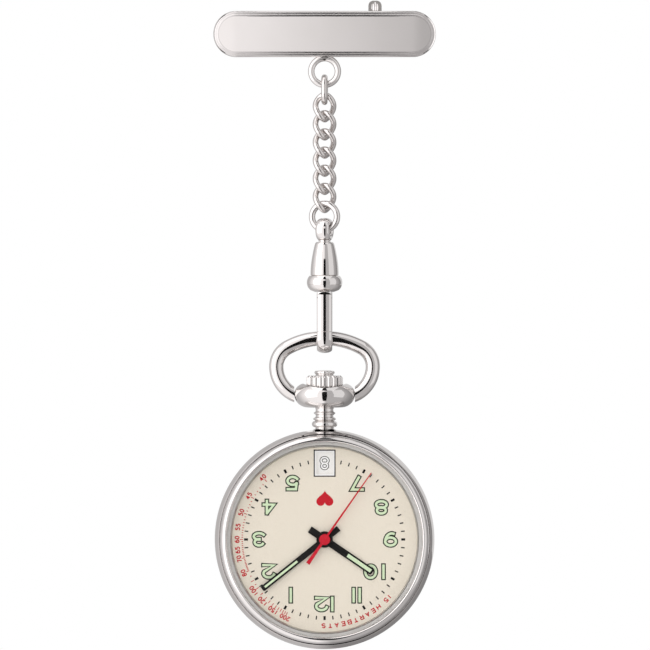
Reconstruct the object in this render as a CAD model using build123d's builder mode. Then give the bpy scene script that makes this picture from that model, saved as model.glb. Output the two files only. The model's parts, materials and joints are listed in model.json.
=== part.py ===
"""Nurse's fob watch: a bar brooch, a short curb chain with a swivel clip, and a small quartz
pocket watch that hangs upside down, so that its wearer can read it by looking down.

Millimetres. +Z up, +X to the right, and the dial faces -Y. The origin is the middle of the
brooch pin's straight stem, on its axis. The watch's own 12 o'clock points down, to -Z.
"""

from build123d import *
from math import acos, atan2, cos, degrees, pi, radians, sin, sqrt
import os

os.makedirs("parts", exist_ok=True)

# ---------------------------------------------------------------- driving dimensions
RUN = 0.03                  # radial running clearance of small arbors
HANG_Y = -2.9               # the plane that the chain, the clip and the case hang in

BAR_LENGTH = 28.45
BAR_HEIGHT = 5.9
BAR_CENTRE_Z = -1.25
BAR_FRONT_Y = -3.6
BAR_BACK_Y = -2.2
EYELET_Z = -6.03
EYELET_RADIUS = 1.70        # to the middle of its section
EYELET_SECTION = 0.84

PIN_RADIUS = 0.40
PIN_HINGE_X = -8.5
PIN_BOSS_RADIUS = 0.60      # the thicker root of the pin, next to its knuckle
PIN_BOSS_X = -7.60
PIN_TAPER_X = 5.0
PIN_TIP_X = 9.0
CATCH_X = 6.46
CATCH_TOP_Z = 3.10

JUMP_LINK_Z = -8.36
JUMP_LINK_SECTION = 0.80
JUMP_LINK_FACING = 88       # degrees from facing the front
LINK_COUNT = 6
LINK_TOP_Z = -10.60         # centre of the uppermost curb link
LINK_PITCH = 2.32
LINK_SECTION = 0.74
LINK_HALF_WIDTH = 1.17      # centre-line half axes of the oval before it is twisted
LINK_HALF_LENGTH = 1.59
LINK_TWIST = 100            # degrees from one end of a link to the other
LINK_FACING = 12            # how far the whole chain has turned on its own length
RING_Z = -24.60
RING_RADIUS = 1.66
RING_SECTION = 0.82
RING_FACING = -16

EYE_Z = -26.29
COLLAR_TOP_Z = -27.84
COLLAR_WAIST_Z = -32.06
BEAD_Z = -33.09
BEAD_BOTTOM_Z = -34.23
HOOK_BOTTOM_Z = -42.03
HOOK_WIDTH = 1.98
HOOK_THICK = 0.92
HOOK_INNER_RADIUS = 1.36

BOW_TOP_Z = -40.13          # centre-line height of the bow's top
BOW_MIDDLE_Z = -43.75
BOW_HALF_WIDTH = 6.17
BOW_SECTION = 1.84
PIVOT_Z = -47.30            # the bow turns about X here
CUP_HALF_WIDTH = 3.80

CROWN_RADIUS = 2.35
CROWN_TOP_Z = -44.91
CROWN_BOTTOM_Z = -46.50
CROWN_FLUTES = 22

CASE_Z = -65.83
CASE_RADIUS = 14.0
BEZEL_RADIUS = 13.36
CRYSTAL_RADIUS = 12.45
DIAL_RADIUS = 12.25
MOVEMENT_RADIUS = 11.65

# depths along Y, from the crystal back to the case back
CRYSTAL_FRONT_Y = -6.70
CRYSTAL_BACK_Y = -5.55
BEZEL_FRONT_Y = -6.30
BEZEL_BACK_Y = -4.95
DIAL_FRONT_Y = -4.55
DIAL_BACK_Y = -4.20
PLATE_FRONT_Y = -3.90
PLATE_BACK_Y = -3.00
BRIDGE_FRONT_Y = -1.92
BRIDGE_BACK_Y = -1.62
MIDDLE_BACK_Y = -1.00
CASE_BACK_Y = 0.90

# the hands, clockwise from 12 as their owner reads them: 8.6 seconds past 10:08 hours
HOUR_ANGLE = 304.3
MINUTE_ANGLE = 51.5
SECONDS_ANGLE = 215.0


# ---------------------------------------------------------------- helpers
def case_plane(depth, x=0.0, up=0.0):
    """Plane square to the watch's axis at Y = depth, centred (x, up) from that axis, facing -Y."""
    return Plane(origin=(x, depth, CASE_Z + up), x_dir=(1, 0, 0), z_dir=(0, -1, 0))


def hand_plane(angle, depth):
    """The same plane turned so that its own +Y axis points along a hand at this dial angle."""
    across, along = -sin(radians(angle)), -cos(radians(angle))
    return Plane(origin=(0, depth, CASE_Z), x_dir=(along, 0, -across), z_dir=(0, -1, 0))


def upright_plane(x=0.0):
    """The YZ plane through the hanging plane, with local x along Y and local y along Z."""
    return Plane(origin=(x, HANG_Y, 0), x_dir=(0, 1, 0), z_dir=(1, 0, 0))


def facing_plane(angle):
    """An upright plane through the hanging axis, turned this far from facing the front."""
    across = (cos(radians(angle)), sin(radians(angle)), 0)
    return Plane(origin=(0, HANG_Y, 0), x_dir=across, z_dir=(across[1], -across[0], 0))


FRONT = Plane(origin=(0, HANG_Y, 0), x_dir=(1, 0, 0), z_dir=(0, -1, 0))
SIDE = upright_plane()
HANG_AXIS = Axis((0, HANG_Y, 0), (0, 0, 1))
WATCH_AXIS = Axis((0, 0, CASE_Z), (0, 1, 0))


def turned(points):
    """Closed half-profile of a piece turned about the hanging axis, as (radius, height) points."""
    with BuildSketch(FRONT) as profile:
        with BuildLine():
            Polyline(*points, close=True)
        make_face()
    return profile.sketch


def ring_profile(points):
    """Closed half-profile of a piece turned about the watch's axis, as (radius, depth) points."""
    with BuildSketch(Plane(origin=(0, 0, CASE_Z), x_dir=(1, 0, 0), z_dir=(0, 0, 1))) as profile:
        with BuildLine():
            Polyline(*points, close=True)
        make_face()
    return profile.sketch


def gear_points(teeth, module, angle, tooth=True):
    """Outline of a small clock gear, with a tooth (or a gap) standing at this angle in degrees."""
    pitch_radius = teeth * module / 2
    step = 2 * pi / teeth
    start = radians(angle) + (0 if tooth else step / 2)
    outline = []
    for number in range(teeth):
        middle = start + number * step
        for turn, radius in (
            (-0.30, pitch_radius - 1.2 * module),
            (-0.13, pitch_radius + 0.9 * module),
            (0.13, pitch_radius + 0.9 * module),
            (0.30, pitch_radius - 1.2 * module),
        ):
            outline.append((radius * cos(middle + turn * step), radius * sin(middle + turn * step)))
    return outline


def gear_face(plane, teeth, module, angle, tooth=True):
    """The gear's outline as a face on a plane."""
    with BuildSketch(plane) as face:
        with BuildLine():
            Polyline(*gear_points(teeth, module, angle, tooth), close=True)
        make_face()
    return face.sketch


def finish(piece, label):
    """Name the piece and write its STEP file."""
    piece.part.label = label
    export_step(piece.part, f"parts/{label}.step")


# ================================================================ the brooch
with BuildPart() as brooch_bar:
    rim, field_step = 0.42, 0.14
    with BuildSketch(Plane(origin=(0, BAR_BACK_Y, BAR_CENTRE_Z), x_dir=(1, 0, 0), z_dir=(0, -1, 0))):
        SlotOverall(BAR_LENGTH, BAR_HEIGHT)
    extrude(amount=BAR_BACK_Y - BAR_FRONT_Y - field_step)
    chamfer(brooch_bar.faces().sort_by(Axis.Y)[0].outer_wire().edges(), 0.24)
    shoulder_y = BAR_FRONT_Y + field_step
    with BuildSketch(Plane(origin=(0, shoulder_y, BAR_CENTRE_Z), x_dir=(1, 0, 0), z_dir=(0, -1, 0))):
        SlotOverall(BAR_LENGTH - 2 * rim, BAR_HEIGHT - 2 * rim)
    extrude(amount=field_step)
    fillet(brooch_bar.faces().sort_by(Axis.Y)[0].outer_wire().edges(), 0.10)
    # the eyelet grows out of the bar's lower edge on a short web
    with BuildSketch(Plane(origin=(0, HANG_Y, EYELET_Z), x_dir=(1, 0, 0), z_dir=(0, 0, 1))):
        with Locations((EYELET_RADIUS, 0)):
            Circle(EYELET_SECTION / 2)
    revolve(axis=Axis((0, HANG_Y, EYELET_Z), (0, 1, 0)))
finish(brooch_bar, "brooch_bar")

HINGE_PLATE_BACK = -1.75
KNUCKLE_HALF = 0.85
EAR_OUTER = 1.25
with BuildPart() as pin_hinge_bracket:
    with Locations((PIN_HINGE_X, (BAR_BACK_Y + HINGE_PLATE_BACK) / 2, 0)):
        Box(2.6, HINGE_PLATE_BACK - BAR_BACK_Y, 2 * EAR_OUTER)
    for side in (-1, 1):
        low = min(side * EAR_OUTER, side * (KNUCKLE_HALF + 0.05))
        with BuildSketch(Plane.XY.offset(low)):
            with Locations((PIN_HINGE_X, 0)):
                Circle(0.80)
            with Locations((PIN_HINGE_X, BAR_BACK_Y / 2)):
                Rectangle(1.6, -BAR_BACK_Y)
        extrude(amount=EAR_OUTER - KNUCKLE_HALF - 0.05)
    with Locations((PIN_HINGE_X, 0, 0)):
        Cylinder(0.26, 4, mode=Mode.SUBTRACT)
finish(pin_hinge_bracket, "pin_hinge_bracket")

with BuildPart() as pin_hinge_rivet:
    with Locations((PIN_HINGE_X, 0, 0)):
        Cylinder(0.25, 2 * EAR_OUTER + 0.3)
    for side in (-1, 1):
        with Locations((PIN_HINGE_X, 0, side * (EAR_OUTER + 0.09))):
            Cylinder(0.45, 0.16)
finish(pin_hinge_rivet, "pin_hinge_rivet")

with BuildPart() as brooch_pin:
    with Locations((PIN_HINGE_X, 0, 0)):
        Cylinder(0.62, 2 * KNUCKLE_HALF)
    with BuildSketch(Plane.XY):
        with BuildLine():
            Polyline(
                (PIN_HINGE_X, 0),
                (PIN_HINGE_X, PIN_BOSS_RADIUS),
                (PIN_BOSS_X, PIN_BOSS_RADIUS),
                (PIN_BOSS_X, PIN_RADIUS),
                (PIN_TAPER_X, PIN_RADIUS),
                (PIN_TIP_X, 0.05),
                (PIN_TIP_X, 0),
                close=True,
            )
        make_face()
    revolve(axis=Axis.X)
    with Locations((PIN_HINGE_X, 0, 0)):
        Cylinder(0.25 + RUN, 3, mode=Mode.SUBTRACT)
finish(brooch_pin, "brooch_pin")

CHEEK = 0.40
ROTOR_LENGTH = 1.36
CHEEK_X = ROTOR_LENGTH / 2 + 0.04
CATCH_BASE_BACK = -1.30
with BuildPart() as catch_housing:
    with Locations((CATCH_X, (BAR_BACK_Y + CATCH_BASE_BACK) / 2, 0)):
        Box(2 * (CHEEK_X + CHEEK), CATCH_BASE_BACK - BAR_BACK_Y, 2.4)
    for start in (CATCH_X - CHEEK_X - CHEEK, CATCH_X + CHEEK_X):
        with BuildSketch(Plane(origin=(start, 0, 0), x_dir=(0, 1, 0), z_dir=(1, 0, 0))):
            Circle(1.22)
            with Locations((CATCH_BASE_BACK / 2, 0)):
                Rectangle(-CATCH_BASE_BACK + 0.2, 2.4)
            Circle(0.66, mode=Mode.SUBTRACT)
            # the mouth that the pin swings in through
            with Locations((1.0, 0)):
                Rectangle(2.0, 0.96, mode=Mode.SUBTRACT)
        extrude(amount=CHEEK)
finish(catch_housing, "catch_housing")

TAB_WIDTH = 1.70
CATCH_FLANK = radians(58)
with BuildPart() as catch_lock:
    with BuildSketch(Plane(origin=(CATCH_X, 0, 0), x_dir=(0, 1, 0), z_dir=(1, 0, 0))):
        Circle(1.05)
        with Locations((0, 1.2)):
            Rectangle(0.85, 1.2)
    extrude(amount=ROTOR_LENGTH / 2, both=True)
    with BuildSketch(Plane(origin=(CATCH_X, 0, 0), x_dir=(0, 1, 0), z_dir=(1, 0, 0))):
        Circle(0.62)
    extrude(amount=CHEEK_X + CHEEK, both=True)
    # the finger tab that stands above the bar, with a grip groove down its middle
    with BuildSketch(Plane(origin=(CATCH_X, 0, 0), x_dir=(1, 0, 0), z_dir=(0, -1, 0))):
        with BuildLine():
            tab_side = Line((TAB_WIDTH / 2 - 0.15, 1.45), (TAB_WIDTH / 2, 1.75))
            tab_edge = Line(tab_side @ 1, (TAB_WIDTH / 2, CATCH_TOP_Z - 0.65))
            tab_round = RadiusArc(tab_edge @ 1, (0.28, CATCH_TOP_Z), -0.75)
            tab_crown = Line(tab_round @ 1, (0, CATCH_TOP_Z))
            Line(tab_crown @ 1, (0, 1.45))
            Line((0, 1.45), tab_side @ 0)
        make_face()
        mirror(about=Plane.YZ)
    extrude(amount=0.45, both=True)
    for side in (-1, 1):
        with Locations((CATCH_X, side * 0.50, 2.5)):
            Box(0.24, 0.24, 1.6, mode=Mode.SUBTRACT)
    with BuildSketch(Plane(origin=(CATCH_X - 2, 0, 0), x_dir=(0, 1, 0), z_dir=(1, 0, 0))):
        Circle(0.44)
        # the slot widens outwards, so the pin swings out freely when the tab is up
        with BuildLine():
            flank_y, flank_z = 3 * cos(CATCH_FLANK), 3 * sin(CATCH_FLANK)
            Polyline((0, 0), (flank_y, -flank_z), (flank_y, flank_z), close=True)
        make_face()
    extrude(amount=4, mode=Mode.SUBTRACT)
finish(catch_lock, "catch_lock")


# ================================================================ the chain
JUMP_LINK_BEND = 1.10
with BuildPart() as jump_link:
    straight_half = 3.94 / 2 - JUMP_LINK_SECTION / 2 - JUMP_LINK_BEND
    with BuildLine(facing_plane(JUMP_LINK_FACING)) as half_oval:
        lower_bend = CenterArc((0, JUMP_LINK_Z - straight_half), JUMP_LINK_BEND, 270, 90)
        strand = Line(lower_bend @ 1, (JUMP_LINK_BEND, JUMP_LINK_Z + straight_half))
        CenterArc((0, JUMP_LINK_Z + straight_half), JUMP_LINK_BEND, 0, 90)
    with BuildSketch(Plane(origin=half_oval.wire() @ 0, z_dir=half_oval.wire() % 0)):
        Circle(JUMP_LINK_SECTION / 2)
    sweep(path=half_oval.wire())
    facing = radians(JUMP_LINK_FACING)
    mirror(about=Plane(origin=(0, HANG_Y, 0), z_dir=(cos(facing), sin(facing), 0)))
finish(jump_link, "jump_link")


def link_point(turn):
    """Centre line of a curb link: an oval, twisted evenly about its own length."""
    across = LINK_HALF_WIDTH * sin(turn)
    height = LINK_HALF_LENGTH * cos(turn)
    twist = radians(LINK_FACING) - radians(LINK_TWIST) / 2 * cos(turn)
    return Vector(across * cos(twist), across * sin(twist), height)


def link_direction(turn):
    """Unit tangent of that centre line."""
    return (link_point(turn + 1e-4) - link_point(turn - 1e-4)).normalized()


def biarc_joint(start, start_way, end, end_way):
    """Point where two arcs meet smoothly between two points with given tangents."""
    chord = end - start
    ways = start_way + end_way
    scale = 2 * (1 - start_way.dot(end_way))
    reach = (-chord.dot(ways) + sqrt(chord.dot(ways) ** 2 + scale * chord.dot(chord))) / scale
    return (start + end + (start_way - end_way) * reach) * 0.5


LINK_SPANS = 8
for link_number in range(LINK_COUNT):
    centre = Vector(0, HANG_Y, LINK_TOP_Z - link_number * LINK_PITCH)
    with BuildPart() as curb_link:
        for span in range(LINK_SPANS):
            turn, next_turn = 2 * pi * span / LINK_SPANS, 2 * pi * (span + 1) / LINK_SPANS
            start, end = centre + link_point(turn), centre + link_point(next_turn)
            way, end_way = link_direction(turn), link_direction(next_turn)
            middle = biarc_joint(start, way, end, end_way)
            for target in (middle, end):
                with BuildLine() as bend:
                    TangentArc(start, target, tangent=way)
                with BuildSketch(Plane(origin=start, z_dir=way)):
                    Circle(LINK_SECTION / 2)
                sweep(path=bend.wire())
                start, way = target, bend.wire() % 1
    finish(curb_link, f"curb_link_{link_number + 1}")

with BuildPart() as jump_ring:
    ring_plane = facing_plane(RING_FACING)
    ring_centre = Vector(0, HANG_Y, RING_Z)
    section_plane = Plane(origin=ring_centre, x_dir=ring_plane.x_dir, z_dir=(0, 0, 1))
    with BuildSketch(section_plane):
        with Locations((RING_RADIUS, 0)):
            Circle(RING_SECTION / 2)
    revolve(axis=Axis(ring_centre, ring_plane.z_dir))
finish(jump_ring, "jump_ring")


# ================================================================ the swivel clip
SHANK_RADIUS = 0.60
SHANK_HEAD_RADIUS = 1.0
HEAD_TOP_Z = -31.00
HEAD_BOTTOM_Z = -31.55
with BuildPart() as swivel_eye:
    eye_radius = 1.10
    eye_plane = facing_plane(RING_FACING + 90)
    with BuildSketch(Plane(origin=(0, HANG_Y, EYE_Z), x_dir=eye_plane.x_dir, z_dir=(0, 0, 1))):
        with Locations((eye_radius, 0)):
            Ellipse(0.45, 0.90)
    revolve(axis=Axis((0, HANG_Y, EYE_Z), eye_plane.z_dir))
    shank = turned([
        (0, EYE_Z - 0.98), (0.78, EYE_Z - 0.98), (0.78, COLLAR_TOP_Z + 0.06),
        (SHANK_RADIUS, COLLAR_TOP_Z + 0.04),
        (SHANK_RADIUS, HEAD_TOP_Z), (SHANK_HEAD_RADIUS, HEAD_TOP_Z),
        (SHANK_HEAD_RADIUS, HEAD_BOTTOM_Z), (0, HEAD_BOTTOM_Z),
    ])
    revolve(shank, axis=HANG_AXIS)
finish(swivel_eye, "swivel_eye")

PLUG_RADIUS = 0.90
CHAMBER_BOTTOM_Z = -31.75
with BuildPart() as clip_collar:
    with BuildSketch(FRONT):
        with BuildLine():
            mouth = Line((SHANK_RADIUS + RUN, COLLAR_TOP_Z), (1.05, COLLAR_TOP_Z))
            lip = Line(mouth @ 1, (1.20, COLLAR_TOP_Z - 0.16))
            bell = Spline(lip @ 1, (1.46, -29.0), (1.69, -30.3), (1.80, -31.6), (1.80, COLLAR_WAIST_Z))
            groove = Line(bell @ 1, (1.68, COLLAR_WAIST_Z - 0.08))
            bead = ThreePointArc(groove @ 1, (2.27, BEAD_Z), (1.20, BEAD_BOTTOM_Z))
            Polyline(
                bead @ 1, (PLUG_RADIUS, BEAD_BOTTOM_Z), (PLUG_RADIUS, CHAMBER_BOTTOM_Z),
                (SHANK_HEAD_RADIUS + 0.06, CHAMBER_BOTTOM_Z), (SHANK_HEAD_RADIUS + 0.06, HEAD_TOP_Z + 0.05),
                (SHANK_RADIUS + RUN, HEAD_TOP_Z + 0.05), mouth @ 0,
            )
        make_face()
    revolve(axis=HANG_AXIS)
finish(clip_collar, "clip_collar")

STRAND = HOOK_INNER_RADIUS + HOOK_THICK / 2     # from the clip's axis to a strand's middle
HOOK_CENTRE_Z = HOOK_BOTTOM_Z + HOOK_THICK + HOOK_INNER_RADIUS
GATE_PIN_Z = -34.95
GATE_PIN_RADIUS = 0.20
GATE_END_Z = -39.25
TONGUE_HALF = 0.30
ROOT_TOP_Z = -34.10
with BuildPart() as clip_hook:
    plug = turned([
        (0, CHAMBER_BOTTOM_Z - 0.05), (PLUG_RADIUS, CHAMBER_BOTTOM_Z - 0.05),
        (PLUG_RADIUS, BEAD_BOTTOM_Z - 0.35), (0, BEAD_BOTTOM_Z - 0.35),
    ])
    revolve(plug, axis=HANG_AXIS)
    # the root bar under the bead
    with BuildSketch(upright_plane(-HOOK_WIDTH / 2)):
        with BuildLine():
            Polyline(
                (-1.15, BEAD_BOTTOM_Z - 0.02), (STRAND, BEAD_BOTTOM_Z - 0.02), (STRAND, -35.9),
                (STRAND - HOOK_THICK / 2 - 0.5, -35.3), (-0.75, -35.3), (-1.15, -35.1), close=True,
            )
        make_face()
    extrude(amount=HOOK_WIDTH)
    # one bent bar: down the back, round the bottom, and up to the nose that the gate closes on
    with BuildLine(SIDE) as hook_line:
        back = Line((STRAND, BEAD_BOTTOM_Z - 0.02), (STRAND, HOOK_CENTRE_Z))
        bend = CenterArc((0, HOOK_CENTRE_Z), STRAND, 0, -180)
        Line(bend @ 1, (-STRAND, GATE_END_Z - 0.10))
    with BuildSketch(Plane(origin=hook_line.wire() @ 0, x_dir=(1, 0, 0), z_dir=(0, 0, -1))):
        RectangleRounded(HOOK_WIDTH, HOOK_THICK, 0.30)
    sweep(path=hook_line.wire())
    # the tongue that carries the gate's pin
    with BuildSketch(upright_plane(-TONGUE_HALF)):
        with BuildLine():
            Polyline(
                (-0.9, ROOT_TOP_Z - 0.15), (-STRAND, ROOT_TOP_Z - 0.42), (-STRAND, GATE_PIN_Z - 0.40),
                (-0.9, GATE_PIN_Z - 0.25), close=True,
            )
        make_face()
        with Locations((-STRAND, GATE_PIN_Z)):
            Circle(0.42)
        with Locations((-STRAND, GATE_PIN_Z)):
            Circle(GATE_PIN_RADIUS, mode=Mode.SUBTRACT)
    extrude(amount=2 * TONGUE_HALF)
finish(clip_hook, "clip_hook")

EAR_GAP = 0.04
SPRING_ROOM = 0.32
with BuildPart() as clip_gate:
    with BuildSketch(upright_plane(-HOOK_WIDTH / 2)):
        with Locations((-STRAND, (GATE_PIN_Z + GATE_END_Z) / 2)):
            Rectangle(HOOK_THICK, GATE_PIN_Z - GATE_END_Z)
        with Locations((-STRAND, GATE_PIN_Z)):
            Circle(HOOK_THICK / 2)
        with Locations((-STRAND, GATE_PIN_Z)):
            Circle(GATE_PIN_RADIUS + RUN, mode=Mode.SUBTRACT)
    extrude(amount=HOOK_WIDTH)
    fillet(clip_gate.edges().filter_by(Axis.Z), 0.30)
    # the slot between the gate's two ears, for the tongue and the spring
    slot_width = 2 * TONGUE_HALF + 2 * EAR_GAP + SPRING_ROOM
    with Locations((SPRING_ROOM / 2, HANG_Y - STRAND, GATE_PIN_Z + 0.2)):
        Box(slot_width, 2, 1.55, mode=Mode.SUBTRACT)
finish(clip_gate, "clip_gate")

with BuildPart() as gate_pin:
    with Locations(Location((0, HANG_Y - STRAND, GATE_PIN_Z), (0, 90, 0))):
        Cylinder(GATE_PIN_RADIUS, HOOK_WIDTH - 0.04)
finish(gate_pin, "gate_pin")

with BuildPart() as gate_spring:
    coil_wire, coil_radius = 0.05, 0.32
    coil_start = (TONGUE_HALF + 0.09, HANG_Y - STRAND, GATE_PIN_Z)
    spring_plane = Plane(origin=coil_start, x_dir=(0, 1, 0), z_dir=(1, 0, 0))
    with BuildLine(spring_plane) as coils:
        Helix(pitch=0.115, height=0.23, radius=coil_radius)
    with BuildSketch(Plane(origin=coils.wire() @ 0, z_dir=coils.wire() % 0)):
        Circle(coil_wire)
    sweep(path=coils.wire(), is_frenet=True)
finish(gate_spring, "gate_spring")


# ================================================================ the bow and the pendant
BOW_SIDE_RADIUS = 2.75
BOW_SIDE_X = BOW_HALF_WIDTH - BOW_SIDE_RADIUS
BOW_RISE = BOW_TOP_Z - BOW_MIDDLE_Z
# top radius that runs smoothly into the side radius
BOW_TOP_RADIUS = BOW_SIDE_X**2 + BOW_RISE**2 - BOW_SIDE_RADIUS**2
BOW_TOP_RADIUS /= 2 * (BOW_RISE - BOW_SIDE_RADIUS)
BOW_LOW_RADIUS = 3.95
BOW_END_X = CUP_HALF_WIDTH + 0.08
BOW_PIN_RADIUS = 0.40
BOW_PIN_INNER_X = 3.0
BOW_PIN_OUTER_X = 4.6
shoulder_angle = degrees(atan2(BOW_TOP_RADIUS - BOW_RISE, BOW_SIDE_X))
low_sweep = degrees(acos((BOW_END_X - 0.9 - BOW_HALF_WIDTH + BOW_LOW_RADIUS) / BOW_LOW_RADIUS))
with BuildPart() as bow:
    with BuildLine(FRONT) as half_bow:
        CenterArc((0, BOW_TOP_Z - BOW_TOP_RADIUS), BOW_TOP_RADIUS, 90, shoulder_angle - 90)
        CenterArc((BOW_SIDE_X, BOW_MIDDLE_Z), BOW_SIDE_RADIUS, shoulder_angle, -shoulder_angle)
        CenterArc((BOW_HALF_WIDTH - BOW_LOW_RADIUS, BOW_MIDDLE_Z), BOW_LOW_RADIUS, 0, -low_sweep)
    with BuildSketch(Plane(origin=(0, HANG_Y, BOW_TOP_Z), z_dir=(1, 0, 0))):
        Circle(BOW_SECTION / 2)
    sweep(path=half_bow.wire())
    mirror(about=Plane.YZ)
    # the ends are cut square where they face the pendant's flats
    with Locations((0, HANG_Y, PIVOT_Z - 1.0)):
        Box(2 * BOW_END_X, 4, 4.2, mode=Mode.SUBTRACT)
    with Locations(Location((0, HANG_Y, PIVOT_Z), (0, 90, 0))):
        Cylinder(BOW_PIN_RADIUS, 2 * BOW_PIN_OUTER_X, mode=Mode.SUBTRACT)
finish(bow, "bow")

with BuildPart() as bow_pins:
    for side in (-1, 1):
        middle_x = side * (BOW_PIN_INNER_X + BOW_PIN_OUTER_X) / 2
        with Locations(Location((middle_x, HANG_Y, PIVOT_Z), (0, 90, 0))):
            Cylinder(BOW_PIN_RADIUS, BOW_PIN_OUTER_X - BOW_PIN_INNER_X)
finish(bow_pins, "bow_pins")

STEM_RADIUS = 0.45
STEM_BORE = STEM_RADIUS + 0.05
SADDLE_RADIUS = 7.3
SADDLE_LOW_Z = -46.48
TUBE_RADIUS = 1.0
TUBE_END_Z = CASE_Z + CASE_RADIUS - 1.05
NECK_TOP_Z = -49.05
GASKET_Z = -47.45
with BuildPart() as pendant:
    with BuildSketch(FRONT):
        with BuildLine():
            top = Line((0, -45.9), (2.55, -45.9))
            shoulder = ThreePointArc(top @ 1, (3.62, -46.48), (3.93, -47.35))
            belly = ThreePointArc(shoulder @ 1, (3.55, -48.30), (2.35, -48.98))
            neck = Polyline(belly @ 1, (1.22, NECK_TOP_Z), (1.15, -49.15), (1.15, -49.50))
            first_rib = Polyline(
                neck @ 1, (1.40, -49.66), (1.40, -49.74), (1.12, -49.98), (1.15, -50.18),
            )
            second_rib = Polyline(first_rib @ 1, (1.45, -50.38), (1.47, -50.50), (1.20, -50.72))
            bead = ThreePointArc(second_rib @ 1, (1.63, -51.12), (1.20, -51.52))
            foot = Polyline(bead @ 1, (1.16, -51.68), (1.55, -51.88), (1.75, -52.10), (1.75, -52.30))
            Polyline(foot @ 1, (0, -52.30), top @ 0)
        make_face()
    revolve(axis=HANG_AXIS)
    # the thin saddle that spreads along the case on both sides of the neck
    with BuildSketch(FRONT):
        with BuildLine():
            ridge = Spline((1.0, -51.74), (1.7, -52.02), (2.94, -52.42))
            mirrored = Spline((-2.94, -52.42), (-1.7, -52.02), (-1.0, -51.74))
            Line(ridge @ 0, mirrored @ 1)
            Line(ridge @ 1, mirrored @ 0)
        make_face()
    extrude(amount=1.5, both=True)
    # the case's rim, which the foot sits on
    with BuildSketch(Plane(origin=(0, HANG_Y - 3, CASE_Z), x_dir=(1, 0, 0), z_dir=(0, 1, 0))):
        Circle(CASE_RADIUS + 0.04)
    extrude(amount=6, mode=Mode.SUBTRACT)
    # the tube that is pressed into the case
    with BuildSketch(Plane(origin=(0, HANG_Y, TUBE_END_Z), x_dir=(1, 0, 0), z_dir=(0, 0, 1))):
        Circle(TUBE_RADIUS)
    extrude(amount=-51.6 - TUBE_END_Z)
    # side flats for the bow, the saddle cut and the round well that the crown drops into
    for side in (-1, 1):
        with Locations((side * (CUP_HALF_WIDTH + 1), HANG_Y, PIVOT_Z)):
            Box(2, 10, 4, mode=Mode.SUBTRACT)
    saddle_axis = (0, HANG_Y - 6, SADDLE_LOW_Z + SADDLE_RADIUS)
    with BuildSketch(Plane(origin=saddle_axis, x_dir=(1, 0, 0), z_dir=(0, 1, 0))):
        Circle(SADDLE_RADIUS)
    extrude(amount=12, mode=Mode.SUBTRACT)
    with Locations((0, HANG_Y, CROWN_BOTTOM_Z - 0.05 + 2)):
        Cylinder(CROWN_RADIUS + 0.10, 4, mode=Mode.SUBTRACT)
    with Locations((0, HANG_Y, (CROWN_BOTTOM_Z + TUBE_END_Z) / 2)):
        Cylinder(STEM_BORE, 8, mode=Mode.SUBTRACT)
    with Locations((0, HANG_Y, GASKET_Z)):
        Cylinder(0.85, 0.52, mode=Mode.SUBTRACT)
    with Locations(Location((0, HANG_Y, PIVOT_Z), (0, 90, 0))):
        Cylinder(BOW_PIN_RADIUS + 0.03, 10, mode=Mode.SUBTRACT)
    with Locations((0, HANG_Y, PIVOT_Z)):
        Box(2 * BOW_PIN_INNER_X - 0.1, 1.2, 1.2)
    with Locations((0, HANG_Y, PIVOT_Z)):
        Cylinder(STEM_BORE, 2, mode=Mode.SUBTRACT)
    with Locations((0, HANG_Y, GASKET_Z)):
        Cylinder(0.85, 0.52, mode=Mode.SUBTRACT)
finish(pendant, "pendant")

with BuildPart() as crown_gasket:
    with BuildSketch(Plane(origin=(0, HANG_Y, GASKET_Z), x_dir=(1, 0, 0), z_dir=(0, -1, 0))):
        with Locations((0.665, 0)):
            Ellipse(0.185, 0.22)
    revolve(axis=HANG_AXIS)
finish(crown_gasket, "crown_gasket")

BUTTON_RADIUS = 1.30
with BuildPart() as crown:
    with BuildSketch(FRONT):
        with BuildLine():
            skirt = Polyline(
                (0, CROWN_BOTTOM_Z), (CROWN_RADIUS - 0.22, CROWN_BOTTOM_Z),
                (CROWN_RADIUS, CROWN_BOTTOM_Z + 0.22),
                (CROWN_RADIUS, CROWN_TOP_Z - 0.28), (CROWN_RADIUS - 0.28, CROWN_TOP_Z),
                (BUTTON_RADIUS - 0.08, CROWN_TOP_Z), (BUTTON_RADIUS, CROWN_TOP_Z + 0.30),
            )
            dome = TangentArc((0, CROWN_TOP_Z + 0.70), skirt @ 1, tangent=(1, 0))
            Line(dome @ 0, skirt @ 0)
        make_face()
    revolve(axis=HANG_AXIS)
    # the flutes round its skirt
    with BuildSketch(Plane(origin=(0, HANG_Y, CROWN_BOTTOM_Z - 0.5), x_dir=(1, 0, 0), z_dir=(0, 0, 1))):
        with PolarLocations(CROWN_RADIUS + 0.08, CROWN_FLUTES):
            Circle(0.22)
    extrude(amount=3, mode=Mode.SUBTRACT)
    with Locations((0, HANG_Y, CROWN_BOTTOM_Z + 0.5)):
        Cylinder(STEM_RADIUS, 1.02, mode=Mode.SUBTRACT)
finish(crown, "crown")

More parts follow.
